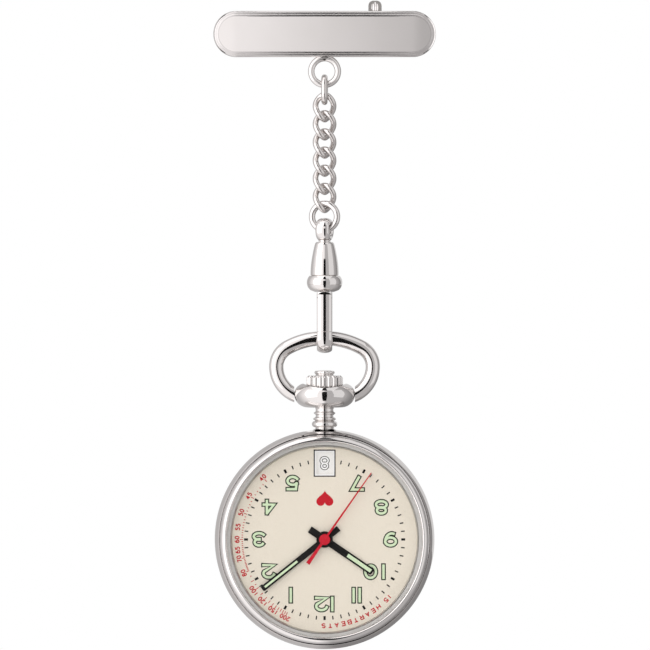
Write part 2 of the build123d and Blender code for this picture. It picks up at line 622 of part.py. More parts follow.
CROWN_TRAVEL = 0.80
STEM_END_Z = CASE_Z + 5.95
STEM_GROOVE_Z = CASE_Z + 8.4
SQUARE = 0.50
SQUARE_TOP_Z = CASE_Z + 7.95
with BuildPart() as winding_stem:
    stem = turned([
        (0, CROWN_BOTTOM_Z + 1.0), (STEM_RADIUS, CROWN_BOTTOM_Z + 1.0), (STEM_RADIUS, STEM_GROOVE_Z + 0.35),
        (0.24, STEM_GROOVE_Z + 0.35), (0.24, STEM_GROOVE_Z - 0.35), (STEM_RADIUS, STEM_GROOVE_Z - 0.35),
        (STEM_RADIUS, SQUARE_TOP_Z), (0, SQUARE_TOP_Z),
    ])
    revolve(stem, axis=HANG_AXIS)
    with Locations((0, HANG_Y, (SQUARE_TOP_Z + STEM_END_Z) / 2)):
        Box(SQUARE, SQUARE, SQUARE_TOP_Z - STEM_END_Z)
finish(winding_stem, "winding_stem")


# ================================================================ the case
TUBE_HOLE = TUBE_RADIUS + 0.02
with BuildPart() as case_middle:
    with BuildSketch(Plane(origin=(0, 0, CASE_Z), x_dir=(1, 0, 0), z_dir=(0, 0, 1))):
        with BuildLine():
            seat = Line((BEZEL_RADIUS + 0.03, BEZEL_BACK_Y), (BEZEL_RADIUS + 0.12, BEZEL_BACK_Y - 0.25))
            front_round = ThreePointArc(seat @ 1, (13.86, -4.45), (CASE_RADIUS, HANG_Y))
            back_round = ThreePointArc(front_round @ 1, (13.80, -1.55), (13.42, MIDDLE_BACK_Y))
            Polyline(
                back_round @ 1, (13.0, MIDDLE_BACK_Y), (13.0, -1.25), (12.85, -1.25),
                (12.85, DIAL_FRONT_Y + 0.02), (12.60, DIAL_FRONT_Y + 0.02), (12.60, BEZEL_BACK_Y), seat @ 0,
            )
        make_face()
    revolve(axis=WATCH_AXIS)
    with Locations((0, HANG_Y, CASE_Z + CASE_RADIUS)):
        Cylinder(TUBE_HOLE, 4, mode=Mode.SUBTRACT)
finish(case_middle, "case_middle")

with BuildPart() as bezel:
    with BuildSketch(Plane(origin=(0, 0, CASE_Z), x_dir=(1, 0, 0), z_dir=(0, 0, 1))):
        with BuildLine():
            lip = Line((CRYSTAL_RADIUS + 0.05, BEZEL_FRONT_Y + 0.12), (CRYSTAL_RADIUS + 0.20, BEZEL_FRONT_Y))
            rounded = ThreePointArc(lip @ 1, (13.14, -6.02), (BEZEL_RADIUS, -5.35))
            Polyline(
                rounded @ 1, (BEZEL_RADIUS - 0.04, BEZEL_BACK_Y - 0.02), (12.05, BEZEL_BACK_Y - 0.02),
                (12.05, -5.27), (CRYSTAL_RADIUS + 0.05, -5.27), lip @ 0,
            )
        make_face()
    revolve(axis=WATCH_AXIS)
finish(bezel, "bezel")

with BuildPart() as crystal_gasket:
    gasket_ring = ring_profile([
        (12.07, -5.28), (12.48, -5.28), (12.48, CRYSTAL_BACK_Y), (12.07, CRYSTAL_BACK_Y),
    ])
    revolve(gasket_ring, axis=WATCH_AXIS)
finish(crystal_gasket, "crystal_gasket")

with BuildPart() as crystal:
    with BuildSketch(Plane(origin=(0, 0, CASE_Z), x_dir=(1, 0, 0), z_dir=(0, 0, 1))):
        with BuildLine():
            flat = Line((0, CRYSTAL_BACK_Y - 0.01), (CRYSTAL_RADIUS, CRYSTAL_BACK_Y - 0.01))
            edge = Polyline(
                flat @ 1, (CRYSTAL_RADIUS, BEZEL_FRONT_Y + 0.12),
                (CRYSTAL_RADIUS - 0.2, BEZEL_FRONT_Y - 0.08),
            )
            dome = TangentArc((0, CRYSTAL_FRONT_Y), edge @ 1, tangent=(1, 0))
            Line(dome @ 0, flat @ 0)
        make_face()
    revolve(axis=WATCH_AXIS)
finish(crystal, "crystal")

with BuildPart() as rehaut_ring:
    slope = ring_profile([
        (11.84, DIAL_FRONT_Y - 0.01), (12.04, DIAL_FRONT_Y - 0.01), (12.04, -5.24), (11.96, -5.24),
        (11.80, -4.75),
    ])
    revolve(slope, axis=WATCH_AXIS)
finish(rehaut_ring, "rehaut_ring")

BACK_LIP_RADIUS = 12.82
with BuildPart() as case_back:
    with BuildSketch(Plane(origin=(0, 0, CASE_Z), x_dir=(1, 0, 0), z_dir=(0, 0, 1))):
        with BuildLine():
            inside = Polyline(
                (0, -0.10), (11.6, -0.10), (12.3, -0.55), (12.3, -1.55), (BACK_LIP_RADIUS, -1.55),
                (BACK_LIP_RADIUS, MIDDLE_BACK_Y + 0.02), (13.40, MIDDLE_BACK_Y + 0.02), (13.40, -0.80),
            )
            dome = ThreePointArc(inside @ 1, (12.0, 0.32), (9.6, CASE_BACK_Y))
            Polyline(dome @ 1, (0, CASE_BACK_Y), inside @ 0)
        make_face()
    revolve(axis=WATCH_AXIS)
    # the notch for a case knife
    with Locations((0, MIDDLE_BACK_Y, CASE_Z - 13.4)):
        Box(2.4, 0.5, 0.7, mode=Mode.SUBTRACT)
finish(case_back, "case_back")

with BuildPart() as case_back_gasket:
    seal = ring_profile([
        (12.84, -1.23), (12.98, -1.23), (12.98, MIDDLE_BACK_Y - 0.01), (12.84, MIDDLE_BACK_Y - 0.01),
    ])
    revolve(seal, axis=WATCH_AXIS)
finish(case_back_gasket, "case_back_gasket")

with BuildPart() as movement_holder:
    holder = ring_profile([
        (MOVEMENT_RADIUS + 0.03, DIAL_BACK_Y + 0.03), (12.82, DIAL_BACK_Y + 0.03), (12.82, -1.62),
        (12.25, -1.62), (12.25, -2.2), (MOVEMENT_RADIUS + 0.03, -2.2),
    ])
    revolve(holder, axis=WATCH_AXIS)
    with Locations((0, HANG_Y, CASE_Z + 12.3)):
        Cylinder(TUBE_RADIUS + 0.1, 2.4, mode=Mode.SUBTRACT)
finish(movement_holder, "movement_holder")


# ================================================================ the dial and the date
WINDOW_UP = 9.74            # centre of the date window above the watch's axis
WINDOW_WIDTH = 2.10
WINDOW_HEIGHT = 2.76
HOUR_PIPE_RADIUS = 0.75
DIAL_FEET = ((-4.6, -4.6), (5.2, 4.6))
with BuildPart() as dial:
    with BuildSketch(case_plane(DIAL_BACK_Y)):
        Circle(DIAL_RADIUS)
        Circle(HOUR_PIPE_RADIUS + 0.15, mode=Mode.SUBTRACT)
        with Locations((0, WINDOW_UP)):
            Rectangle(WINDOW_WIDTH, WINDOW_HEIGHT, mode=Mode.SUBTRACT)
    extrude(amount=DIAL_BACK_Y - DIAL_FRONT_Y)
    # two feet that go down into the main plate, inside the date ring
    for foot_at in DIAL_FEET:
        with BuildSketch(case_plane(-3.25, *foot_at)):
            Circle(0.35)
        extrude(amount=-3.25 - DIAL_BACK_Y)
finish(dial, "dial")

DATE_FRONT_Y = -4.14
DATE_BACK_Y = -3.98
DATE_OUTER_RADIUS = 11.45
DATE_ROOT_RADIUS = 8.0
DATE_TIP_RADIUS = 7.5
DATES = 31
with BuildPart() as date_disc:
    with BuildSketch(case_plane(DATE_BACK_Y)):
        Circle(DATE_OUTER_RADIUS)
        with BuildLine():
            inner_edge = []
            for tooth in range(DATES):
                middle = 2 * pi * (tooth + 0.5) / DATES
                for turn, radius in (
                    (-0.28, DATE_ROOT_RADIUS), (-0.10, DATE_TIP_RADIUS),
                    (0.10, DATE_TIP_RADIUS), (0.28, DATE_ROOT_RADIUS),
                ):
                    at = middle + turn * 2 * pi / DATES
                    inner_edge.append((radius * cos(at), radius * sin(at)))
            Polyline(*inner_edge, close=True)
        make_face(mode=Mode.SUBTRACT)
    extrude(amount=DATE_BACK_Y - DATE_FRONT_Y)
finish(date_disc, "date_disc")


# ================================================================ the hands
HAND_SHEET = 0.12
HOUR_HAND_BACK = -4.70
MINUTE_HAND_BACK = -4.94
SECONDS_HAND_BACK = -5.18
ARBOR_RADIUS = 0.14
TUBE_INNER = ARBOR_RADIUS + RUN
TUBE_OUTER = 0.30
CANNON_INNER = TUBE_OUTER + 0.02
CANNON_OUTER = 0.50
HOUR_PIPE_INNER = CANNON_OUTER + RUN


def baton_hand(angle, back, length, tail, width, hub, hole):
    """A flat baton hand with a square tail, a round hub and a small chamfer at its tip."""
    with BuildPart() as hand:
        with BuildSketch(hand_plane(angle, back)):
            with BuildLine():
                Polyline(
                    (-width / 2, -tail), (width / 2, -tail), (width / 2, length - 0.12),
                    (width / 2 - 0.12, length),
                    (0.12 - width / 2, length), (-width / 2, length - 0.12), close=True,
                )
            make_face()
            Circle(hub)
            Circle(hole, mode=Mode.SUBTRACT)
        extrude(amount=HAND_SHEET)
    return hand


hour_hand = baton_hand(HOUR_ANGLE, HOUR_HAND_BACK, 7.43, 2.3, 0.90, 1.05, HOUR_PIPE_RADIUS - 0.10)
finish(hour_hand, "hour_hand")
minute_hand = baton_hand(MINUTE_ANGLE, MINUTE_HAND_BACK, 10.18, 2.3, 0.76, 1.0, CANNON_OUTER - 0.08)
finish(minute_hand, "minute_hand")

with BuildPart() as seconds_hand:
    with BuildSketch(hand_plane(SECONDS_ANGLE, SECONDS_HAND_BACK)):
        with BuildLine():
            Polyline(
                (-0.26, -3.74), (0.26, -3.74), (0.14, 0), (0.06, 10.4), (-0.06, 10.4), (-0.14, 0), close=True,
            )
        make_face()
        Circle(0.70)
    extrude(amount=HAND_SHEET)
    with BuildSketch(case_plane(SECONDS_HAND_BACK)):
        Circle(0.34)
        Circle(ARBOR_RADIUS, mode=Mode.SUBTRACT)
    extrude(amount=-0.10)
finish(seconds_hand, "seconds_hand")


# ================================================================ the movement
CANNON_TEETH, MINUTE_WHEEL_TEETH, MOTION_MODULE = 12, 36, 0.10
MINUTE_PINION_TEETH, HOUR_WHEEL_TEETH, HOUR_MODULE = 10, 40, 0.096
MINUTE_WHEEL_UP = (CANNON_TEETH + MINUTE_WHEEL_TEETH) * MOTION_MODULE / 2
SETTING_TEETH = 24
SETTING_UP = MINUTE_WHEEL_UP + (MINUTE_WHEEL_TEETH + SETTING_TEETH) * MOTION_MODULE / 2
DATE_GEAR_TEETH, DATE_DRIVER_TEETH, DATE_MODULE = 18, 36, 0.15
DATE_DRIVER_ANGLE = -30.0
DATE_DRIVER_REACH = (DATE_GEAR_TEETH + DATE_DRIVER_TEETH) * DATE_MODULE / 2
DATE_DRIVER_X = DATE_DRIVER_REACH * cos(radians(DATE_DRIVER_ANGLE))
DATE_DRIVER_UP = DATE_DRIVER_REACH * sin(radians(DATE_DRIVER_ANGLE))

SECONDS_TEETH, SMALL_PINION_TEETH, SECONDS_MODULE = 40, 8, 0.112
INTERMEDIATE_TEETH, INTERMEDIATE_MODULE = 48, 0.10
THIRD_TEETH, THIRD_MODULE = 60, 0.08
CENTRE_TEETH = 64
CENTRE_MODULE = THIRD_MODULE * (THIRD_TEETH + SMALL_PINION_TEETH) / (CENTRE_TEETH + SMALL_PINION_TEETH)


def step_from(x, up, distance, angle):
    """A centre at this distance and angle from another, in the movement's plane."""
    return x + distance * cos(radians(angle)), up + distance * sin(radians(angle))


INTERMEDIATE_ANGLE, ROTOR_ANGLE, THIRD_ANGLE = -50.0, -75.0, 60.0
INTERMEDIATE_REACH = SECONDS_MODULE * (SECONDS_TEETH + SMALL_PINION_TEETH) / 2
ROTOR_REACH = INTERMEDIATE_MODULE * (INTERMEDIATE_TEETH + SMALL_PINION_TEETH) / 2
THIRD_REACH = THIRD_MODULE * (THIRD_TEETH + SMALL_PINION_TEETH) / 2
INTERMEDIATE_AT = step_from(0, 0, INTERMEDIATE_REACH, INTERMEDIATE_ANGLE)
ROTOR_AT = step_from(*INTERMEDIATE_AT, ROTOR_REACH, ROTOR_ANGLE)
THIRD_AT = step_from(0, 0, THIRD_REACH, THIRD_ANGLE)
BATTERY_AT = (-6.3, 3.3)
BATTERY_RADIUS = 3.4
SCREWS_AT = ((-9.6, -3.6), (5.6, 6.4), (8.6, -5.0))
SETTING_LEVER_AT = (3.4, 8.2)
STEM_SLOT = 1.0

LAYER_1 = (-2.95, -2.80)    # centre wheel and the third wheel's pinion
LAYER_2 = (-2.68, -2.53)    # third wheel and the seconds pinion
LAYER_3 = (-2.42, -2.27)    # seconds wheel and the intermediate pinion
LAYER_4 = (-2.16, -2.01)    # intermediate wheel and the rotor pinion
PIVOT_RADIUS = 0.08
FRONT_PIVOT_Y = PLATE_BACK_Y - 0.20
BACK_PIVOT_Y = BRIDGE_FRONT_Y + 0.20
PIVOTS = (PIVOT_RADIUS, FRONT_PIVOT_Y, BACK_PIVOT_Y)
ARBOR_FRONT_Y = PLATE_BACK_Y + 0.01
ARBOR_BACK_Y = BRIDGE_FRONT_Y - 0.01


def rounds(x, up, *steps):
    """Coaxial steps of an arbor, each (radius, front depth, back depth)."""
    for radius, front, back in steps:
        with BuildSketch(case_plane(back, x, up)) as disc:
            Circle(radius)
        extrude(disc.sketch, amount=back - front)


def gear_layer(x, up, layer, teeth, module, angle, tooth=True):
    """One toothed layer of a wheel or a pinion, between two depths."""
    extrude(gear_face(case_plane(layer[1], x, up), teeth, module, angle, tooth), amount=layer[1] - layer[0])


with BuildPart() as main_plate:
    with BuildSketch(case_plane(PLATE_BACK_Y)):
        Circle(MOVEMENT_RADIUS)
        Circle(TUBE_OUTER + 0.02, mode=Mode.SUBTRACT)
        with Locations((0, 10)):
            Rectangle(2 * STEM_SLOT, 6.7, mode=Mode.SUBTRACT)
    extrude(amount=PLATE_BACK_Y - PLATE_FRONT_Y)
    with BuildSketch(case_plane(PLATE_BACK_Y)):
        with Locations((0, 6.4)):
            Rectangle(1.0, 1.2)
    extrude(amount=0.34, mode=Mode.SUBTRACT)
    # the recess under the dial for the motion work
    with BuildSketch(case_plane(PLATE_FRONT_Y + 0.36)):
        Circle(2.35)
        with Locations((0, MINUTE_WHEEL_UP)):
            Circle(2.20)
        with Locations((0, SETTING_UP)):
            Circle(1.55)
    extrude(amount=0.5, mode=Mode.SUBTRACT)
    # the battery well, the rotor's pocket, the coil's trough and the dial feet holes
    with BuildSketch(case_plane(PLATE_BACK_Y, *BATTERY_AT)):
        Circle(BATTERY_RADIUS + 0.1)
    extrude(amount=0.42, mode=Mode.SUBTRACT)
    with BuildSketch(case_plane(PLATE_BACK_Y)):
        with Locations((-0.6, -8.4)):
            Rectangle(11.8, 2.5)
    extrude(amount=0.45, mode=Mode.SUBTRACT)
    with BuildSketch(case_plane(PLATE_BACK_Y)):
        with Locations(*DIAL_FEET):
            Circle(0.36)
    extrude(amount=PLATE_BACK_Y - PLATE_FRONT_Y, mode=Mode.SUBTRACT)
    with BuildSketch(case_plane(PLATE_BACK_Y)):
        with Locations(INTERMEDIATE_AT, ROTOR_AT, THIRD_AT):
            Circle(PIVOT_RADIUS + 0.02)
    extrude(amount=0.24, mode=Mode.SUBTRACT)
    with BuildSketch(case_plane(-3.54)):
        with Locations((0, MINUTE_WHEEL_UP), (0, SETTING_UP), (DATE_DRIVER_X, DATE_DRIVER_UP)):
            Circle(0.16)
    extrude(amount=0.36)
    with BuildSketch(case_plane(-3.9)):
        with Locations((0, MINUTE_WHEEL_UP), (0, SETTING_UP), (DATE_DRIVER_X, DATE_DRIVER_UP)):
            Circle(0.16)
    extrude(amount=0.16)
    # pillars that the train bridge is screwed to
    for screw in SCREWS_AT:
        with BuildSketch(case_plane(BRIDGE_FRONT_Y, *screw)):
            Circle(0.75)
            Circle(0.30, mode=Mode.SUBTRACT)
        extrude(amount=BRIDGE_FRONT_Y - PLATE_BACK_Y)
finish(main_plate, "main_plate")

with BuildPart() as train_bridge:
    with BuildSketch(case_plane(BRIDGE_BACK_Y)):
        with BuildLine():
            Polyline(
                (-10.4, -2.6), (-8.4, -5.6), (2.2, -6.6), (8.4, -6.2), (9.6, -4.8), (7.7, -3.4),
                (6.5, 6.9), (4.6, 7.5), (-1.0, 4.4), (-2.4, -0.8), (-9.0, -2.0), close=True,
            )
        make_face()
        with Locations(INTERMEDIATE_AT, ROTOR_AT, THIRD_AT, (0, 0)):
            Circle(PIVOT_RADIUS + 0.02, mode=Mode.SUBTRACT)
        with Locations(*SCREWS_AT):
            Circle(0.32, mode=Mode.SUBTRACT)
    extrude(amount=BRIDGE_BACK_Y - BRIDGE_FRONT_Y)
finish(train_bridge, "train_bridge")

with BuildPart() as movement_screws:
    for screw in SCREWS_AT:
        head_back = BRIDGE_BACK_Y + 0.22
        rounds(*screw, (0.55, BRIDGE_BACK_Y + 0.01, head_back), (0.29, -2.8, BRIDGE_BACK_Y + 0.02))
        with Locations((screw[0], head_back, CASE_Z + screw[1])):
            Box(1.3, 0.16, 0.16, mode=Mode.SUBTRACT)
finish(movement_screws, "movement_screws")

with BuildPart() as battery:
    rounds(*BATTERY_AT, (BATTERY_RADIUS, -3.36, -1.75))
    fillet(battery.edges().filter_by(GeomType.CIRCLE), 0.12)
finish(battery, "battery")

with BuildPart() as battery_strap:
    # a thin contact bridge, screwed beside the cell and lying across its back
    with BuildSketch(case_plane(-1.58, *BATTERY_AT)):
        Rectangle(1.5, 7.4)
        with Locations((0, 4.0)):
            Rectangle(1.5, 1.2)
    extrude(amount=0.14)
    with BuildSketch(case_plane(-1.58, BATTERY_AT[0], BATTERY_AT[1] + 4.2)):
        Rectangle(1.5, 0.6)
    extrude(amount=-1.58 - PLATE_BACK_Y)
finish(battery_strap, "battery_strap")

COIL_AT = (-0.6, -8.4)
COIL_DEPTH = -2.36
with BuildPart() as coil:
    # the winding, its two flanges and the core that runs through them
    for shift, radius, length in ((0, 0.95, 7.6), (-3.95, 1.05, 0.3), (3.95, 1.05, 0.3), (0, 0.25, 10.4)):
        coil_centre = (COIL_AT[0] + shift, COIL_DEPTH, CASE_Z + COIL_AT[1])
        with Locations(Location(coil_centre, (0, 90, 0))):
            Cylinder(radius, length)
finish(coil, "coil")

STATOR = (-2.90, -2.66)
with BuildPart() as stator:
    with BuildSketch(case_plane(STATOR[1])):
        with BuildLine():
            rotor_x = ROTOR_AT[0]
            Polyline(
                (-5.8, -8.9), (-4.8, -8.9), (-4.8, -6.6), (rotor_x - 1.6, -6.3), (rotor_x + 1.9, -6.3),
                (3.6, -7.9), (3.6, -8.9), (4.8, -8.9), (5.2, -7.4), (rotor_x + 2.2, -3.6),
                (rotor_x + 0.9, -3.55), (rotor_x - 0.9, -3.75), (rotor_x - 2.2, -5.1), (-5.8, -5.5),
                close=True,
            )
        make_face()
        with Locations(ROTOR_AT):
            Circle(0.80, mode=Mode.SUBTRACT)
        with Locations(INTERMEDIATE_AT):
            Circle(0.45, mode=Mode.SUBTRACT)
    extrude(amount=STATOR[1] - STATOR[0])
finish(stator, "stator")

with BuildPart() as circuit_board:
    with BuildSketch(case_plane(-1.95)):
        with BuildLine():
            Polyline(
                (-9.6, -1.0), (-3.3, -1.0), (-3.3, -3.9), (-7.6, -4.6), (-8.6, -4.4), (-8.6, -2.6),
                (-10.3, -2.4), close=True,
            )
        make_face()
    extrude(amount=0.25)
    # the sealed chip
    with BuildSketch(case_plane(-2.2)):
        with Locations((-6.0, -2.6)):
            Rectangle(1.8, 1.8)
    extrude(amount=0.5)
finish(circuit_board, "circuit_board")

with BuildPart() as quartz_crystal:
    with Locations(Location((8.9, -2.35, CASE_Z + 0.8), (0, 0, 0))):
        Cylinder(0.60, 5.6)
    fillet(quartz_crystal.edges().filter_by(GeomType.CIRCLE), 0.15)
finish(quartz_crystal, "quartz_crystal")

with BuildPart() as rotor:
    rounds(*ROTOR_AT, (0.55, -2.96, -2.46), (0.15, ARBOR_FRONT_Y, ARBOR_BACK_Y), PIVOTS)
    gear_layer(*ROTOR_AT, LAYER_4, SMALL_PINION_TEETH, INTERMEDIATE_MODULE, ROTOR_ANGLE + 180)
finish(rotor, "rotor")

with BuildPart() as intermediate_wheel:
    rounds(*INTERMEDIATE_AT, (0.13, ARBOR_FRONT_Y, ARBOR_BACK_Y), PIVOTS)
    gear_layer(*INTERMEDIATE_AT, LAYER_4, INTERMEDIATE_TEETH, INTERMEDIATE_MODULE, ROTOR_ANGLE, tooth=False)
    gear_layer(*INTERMEDIATE_AT, LAYER_3, SMALL_PINION_TEETH, SECONDS_MODULE, INTERMEDIATE_ANGLE + 180)
finish(intermediate_wheel, "intermediate_wheel")

with BuildPart() as seconds_wheel:
    rounds(
        0, 0,
        (ARBOR_RADIUS, SECONDS_HAND_BACK - HAND_SHEET + 0.02, ARBOR_BACK_Y),
        (PIVOT_RADIUS, BRIDGE_FRONT_Y - 0.02, BACK_PIVOT_Y),
    )
    gear_layer(0, 0, LAYER_3, SECONDS_TEETH, SECONDS_MODULE, INTERMEDIATE_ANGLE, tooth=False)
    gear_layer(0, 0, LAYER_2, SMALL_PINION_TEETH, THIRD_MODULE, THIRD_ANGLE)
finish(seconds_wheel, "seconds_wheel")

with BuildPart() as third_wheel:
    rounds(*THIRD_AT, (0.13, ARBOR_FRONT_Y, ARBOR_BACK_Y), PIVOTS)
    gear_layer(*THIRD_AT, LAYER_2, THIRD_TEETH, THIRD_MODULE, THIRD_ANGLE + 180, tooth=False)
    gear_layer(*THIRD_AT, LAYER_1, SMALL_PINION_TEETH, CENTRE_MODULE, THIRD_ANGLE + 180)
finish(third_wheel, "third_wheel")

with BuildPart() as centre_wheel:
    gear_layer(0, 0, LAYER_1, CENTRE_TEETH, CENTRE_MODULE, THIRD_ANGLE, tooth=False)
    rounds(0, 0, (TUBE_OUTER, -4.6, LAYER_1[1]))
    with BuildSketch(case_plane(LAYER_1[1] + 0.1)):
        Circle(TUBE_INNER)
    extrude(amount=4, mode=Mode.SUBTRACT)
finish(centre_wheel, "centre_wheel")

MOTION_LAYER = (-3.78, -3.62)
HOUR_LAYER = (-3.97, -3.83)
DATE_LAYER = (-4.15, -4.02)
with BuildPart() as cannon_pinion:
    rounds(
        0, 0,
        (CANNON_OUTER - 0.08, MINUTE_HAND_BACK - HAND_SHEET + 0.01, MINUTE_HAND_BACK),
        (CANNON_OUTER, MINUTE_HAND_BACK, MOTION_LAYER[1]),
    )
    gear_layer(0, 0, MOTION_LAYER, CANNON_TEETH, MOTION_MODULE, 90)
    with BuildSketch(case_plane(-3.5)):
        Circle(CANNON_INNER)
    extrude(amount=3, mode=Mode.SUBTRACT)
finish(cannon_pinion, "cannon_pinion")

with BuildPart() as minute_wheel:
    rounds(0, MINUTE_WHEEL_UP, (0.30, HOUR_LAYER[0], MOTION_LAYER[1]))
    gear_layer(0, MINUTE_WHEEL_UP, MOTION_LAYER, MINUTE_WHEEL_TEETH, MOTION_MODULE, -90, tooth=False)
    gear_layer(0, MINUTE_WHEEL_UP, HOUR_LAYER, MINUTE_PINION_TEETH, HOUR_MODULE, -90)
    with BuildSketch(case_plane(-3.5, 0, MINUTE_WHEEL_UP)):
        Circle(0.16 + RUN)
    extrude(amount=1, mode=Mode.SUBTRACT)
finish(minute_wheel, "minute_wheel")

with BuildPart() as setting_wheel:
    gear_layer(0, SETTING_UP, MOTION_LAYER, SETTING_TEETH, MOTION_MODULE, -90)
    with BuildSketch(case_plane(-3.5, 0, SETTING_UP)):
        Circle(0.16 + RUN)
    extrude(amount=1, mode=Mode.SUBTRACT)
finish(setting_wheel, "setting_wheel")

with BuildPart() as hour_wheel:
    rounds(
        0, 0,
        (HOUR_PIPE_RADIUS - 0.10, HOUR_HAND_BACK - HAND_SHEET + 0.01, HOUR_HAND_BACK),
        (HOUR_PIPE_RADIUS, HOUR_HAND_BACK, HOUR_LAYER[1]),
    )
    gear_layer(0, 0, HOUR_LAYER, HOUR_WHEEL_TEETH, HOUR_MODULE, 90, tooth=False)
    gear_layer(0, 0, DATE_LAYER, DATE_GEAR_TEETH, DATE_MODULE, DATE_DRIVER_ANGLE)
    with BuildSketch(case_plane(-3.7)):
        Circle(HOUR_PIPE_INNER)
    extrude(amount=2, mode=Mode.SUBTRACT)
finish(hour_wheel, "hour_wheel")

with BuildPart() as date_driving_wheel:
    date_driver_at = (DATE_DRIVER_X, DATE_DRIVER_UP)
    meshing_angle = DATE_DRIVER_ANGLE + 180
    gear_layer(*date_driver_at, DATE_LAYER, DATE_DRIVER_TEETH, DATE_MODULE, meshing_angle, tooth=False)
    # the finger that moves the date disc on, once a day
    finger_angle = DATE_DRIVER_ANGLE + 100
    with BuildSketch(case_plane(DATE_LAYER[1], *date_driver_at)):
        with PolarLocations(2.6, 1, finger_angle):
            Rectangle(1.5, 0.34)
    extrude(amount=DATE_LAYER[1] - DATE_LAYER[0])
    with BuildSketch(case_plane(-3.9, *date_driver_at)):
        Circle(0.16 + RUN)
    extrude(amount=1, mode=Mode.SUBTRACT)
finish(date_driving_wheel, "date_driving_wheel")

PINION_RADIUS = 0.78
SLIDING_PINION_UP = 6.75
with BuildPart() as sliding_pinion:
    pinion_base = (0, HANG_Y, CASE_Z + SLIDING_PINION_UP)
    with BuildSketch(Plane(origin=pinion_base, x_dir=(1, 0, 0), z_dir=(0, 0, 1))):
        Circle(PINION_RADIUS)
        with PolarLocations(PINION_RADIUS + 0.04, 14):
            Circle(0.10, mode=Mode.SUBTRACT)
        Rectangle(SQUARE + 0.06, SQUARE + 0.06, mode=Mode.SUBTRACT)
    extrude(amount=1.0)
finish(sliding_pinion, "sliding_pinion")

LEVER_DEPTH = (-2.20, -2.00)
with BuildPart() as setting_lever:
    with BuildSketch(case_plane(LEVER_DEPTH[1])):
        with BuildLine():
            Polyline((3.4, 8.75), (-0.15, 8.62), (-0.15, 8.20), (3.4, 7.65), close=True)
        make_face()
        with Locations(SETTING_LEVER_AT):
            Circle(0.62)
        with Locations(SETTING_LEVER_AT):
            Circle(0.25, mode=Mode.SUBTRACT)
    extrude(amount=LEVER_DEPTH[1] - LEVER_DEPTH[0])
    # the peg that stands in the stem's groove
    with BuildSketch(case_plane(LEVER_DEPTH[1], 0.0, 8.40)):
        Circle(0.15)
    extrude(amount=0.55)
finish(setting_lever, "setting_lever")
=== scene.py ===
# %% [markdown]
# # A nurse's fob watch
# A bar brooch is pinned to the tunic. From it hang a short curb chain, a swivel clip and a small
# pocket watch, upside down, so that its wearer reads it by looking down. Every metal piece is bright
# polished steel, the dial is cream lacquer with hollow green numbers, and the hands are black and red.
#
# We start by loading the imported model: it says where every piece is and which body it moves with.
# All lengths below are written in millimetres and turned into metres once, when a mesh is made.

# %% Load the frame
import json
from math import radians

import bmesh
import bpy
import numpy as np
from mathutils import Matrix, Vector

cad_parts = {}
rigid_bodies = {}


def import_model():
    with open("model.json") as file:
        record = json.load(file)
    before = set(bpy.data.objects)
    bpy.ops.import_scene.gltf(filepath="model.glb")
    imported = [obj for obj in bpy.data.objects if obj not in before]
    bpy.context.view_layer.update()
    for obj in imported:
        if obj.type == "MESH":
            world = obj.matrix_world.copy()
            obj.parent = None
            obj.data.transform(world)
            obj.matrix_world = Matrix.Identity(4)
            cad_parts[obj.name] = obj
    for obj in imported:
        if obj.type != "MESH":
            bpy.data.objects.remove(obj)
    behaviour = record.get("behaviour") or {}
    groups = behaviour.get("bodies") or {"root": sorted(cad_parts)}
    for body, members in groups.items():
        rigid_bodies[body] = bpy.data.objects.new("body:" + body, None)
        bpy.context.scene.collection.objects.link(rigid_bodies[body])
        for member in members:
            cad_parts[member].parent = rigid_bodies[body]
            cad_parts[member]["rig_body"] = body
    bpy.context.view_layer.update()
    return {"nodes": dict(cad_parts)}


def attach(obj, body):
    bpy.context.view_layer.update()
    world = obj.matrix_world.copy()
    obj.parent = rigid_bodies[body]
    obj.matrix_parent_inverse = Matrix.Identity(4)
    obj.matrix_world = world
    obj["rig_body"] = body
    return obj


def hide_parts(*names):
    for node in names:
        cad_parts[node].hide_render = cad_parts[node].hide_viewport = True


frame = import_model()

MM = 0.001                  # metres in a millimetre
HANG_Y = -2.9               # the plane that the chain, the clip and the case hang in
CASE_Z = -65.83             # height of the watch's own axis

# %% [markdown]
# ## Surfaces as grids
# A turned or swept shape is a grid of points: one direction goes along a profile or a path, the other
# goes round. Working the whole grid out as arrays keeps it exact and quick, and the faces are only the
# grid's index numbers. A surface here is a pair: its points, and blocks of faces of equal length.


# %% Faces of a grid
def grid_faces(rows, columns, around=True, closed=False):
    """Quads between neighbours of a grid numbered row by row: i * columns + j.

    `around` joins the last column to the first, and `closed` joins the last row to the first.
    """
    row = np.arange(rows if closed else rows - 1)
    column = np.arange(columns if around else columns - 1)
    i, j = (index.ravel() for index in np.meshgrid(row, column, indexing="ij"))
    next_i, next_j = (i + 1) % rows, (j + 1) % columns
    return np.stack(
        [i * columns + j, i * columns + next_j, next_i * columns + next_j, next_i * columns + j], axis=1
    )


# %% [markdown]
# ## From surfaces to a piece
# A piece is one or more surfaces in one mesh. Poles and seams are welded, the faces are turned to point
# outwards, and the shading is smooth except where two faces meet at a clear angle. The same function
# says which body the piece rides on, which finish it has, and which design solid it stands for.


# %% Make a piece
def new_object(name, data):
    """An object for a mesh, a lamp or a lens, linked into the scene."""
    thing = bpy.data.objects.new(name, data)
    bpy.context.scene.collection.objects.link(thing)
    return thing


def dress(thing, body, material, stands_for=()):
    """Rides the object on a body, gives it its material and hides what it replaces."""
    thing.data.materials.clear()
    thing.data.materials.append(material)
    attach(thing, body)
    if stands_for:
        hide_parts(*stands_for)
    return thing


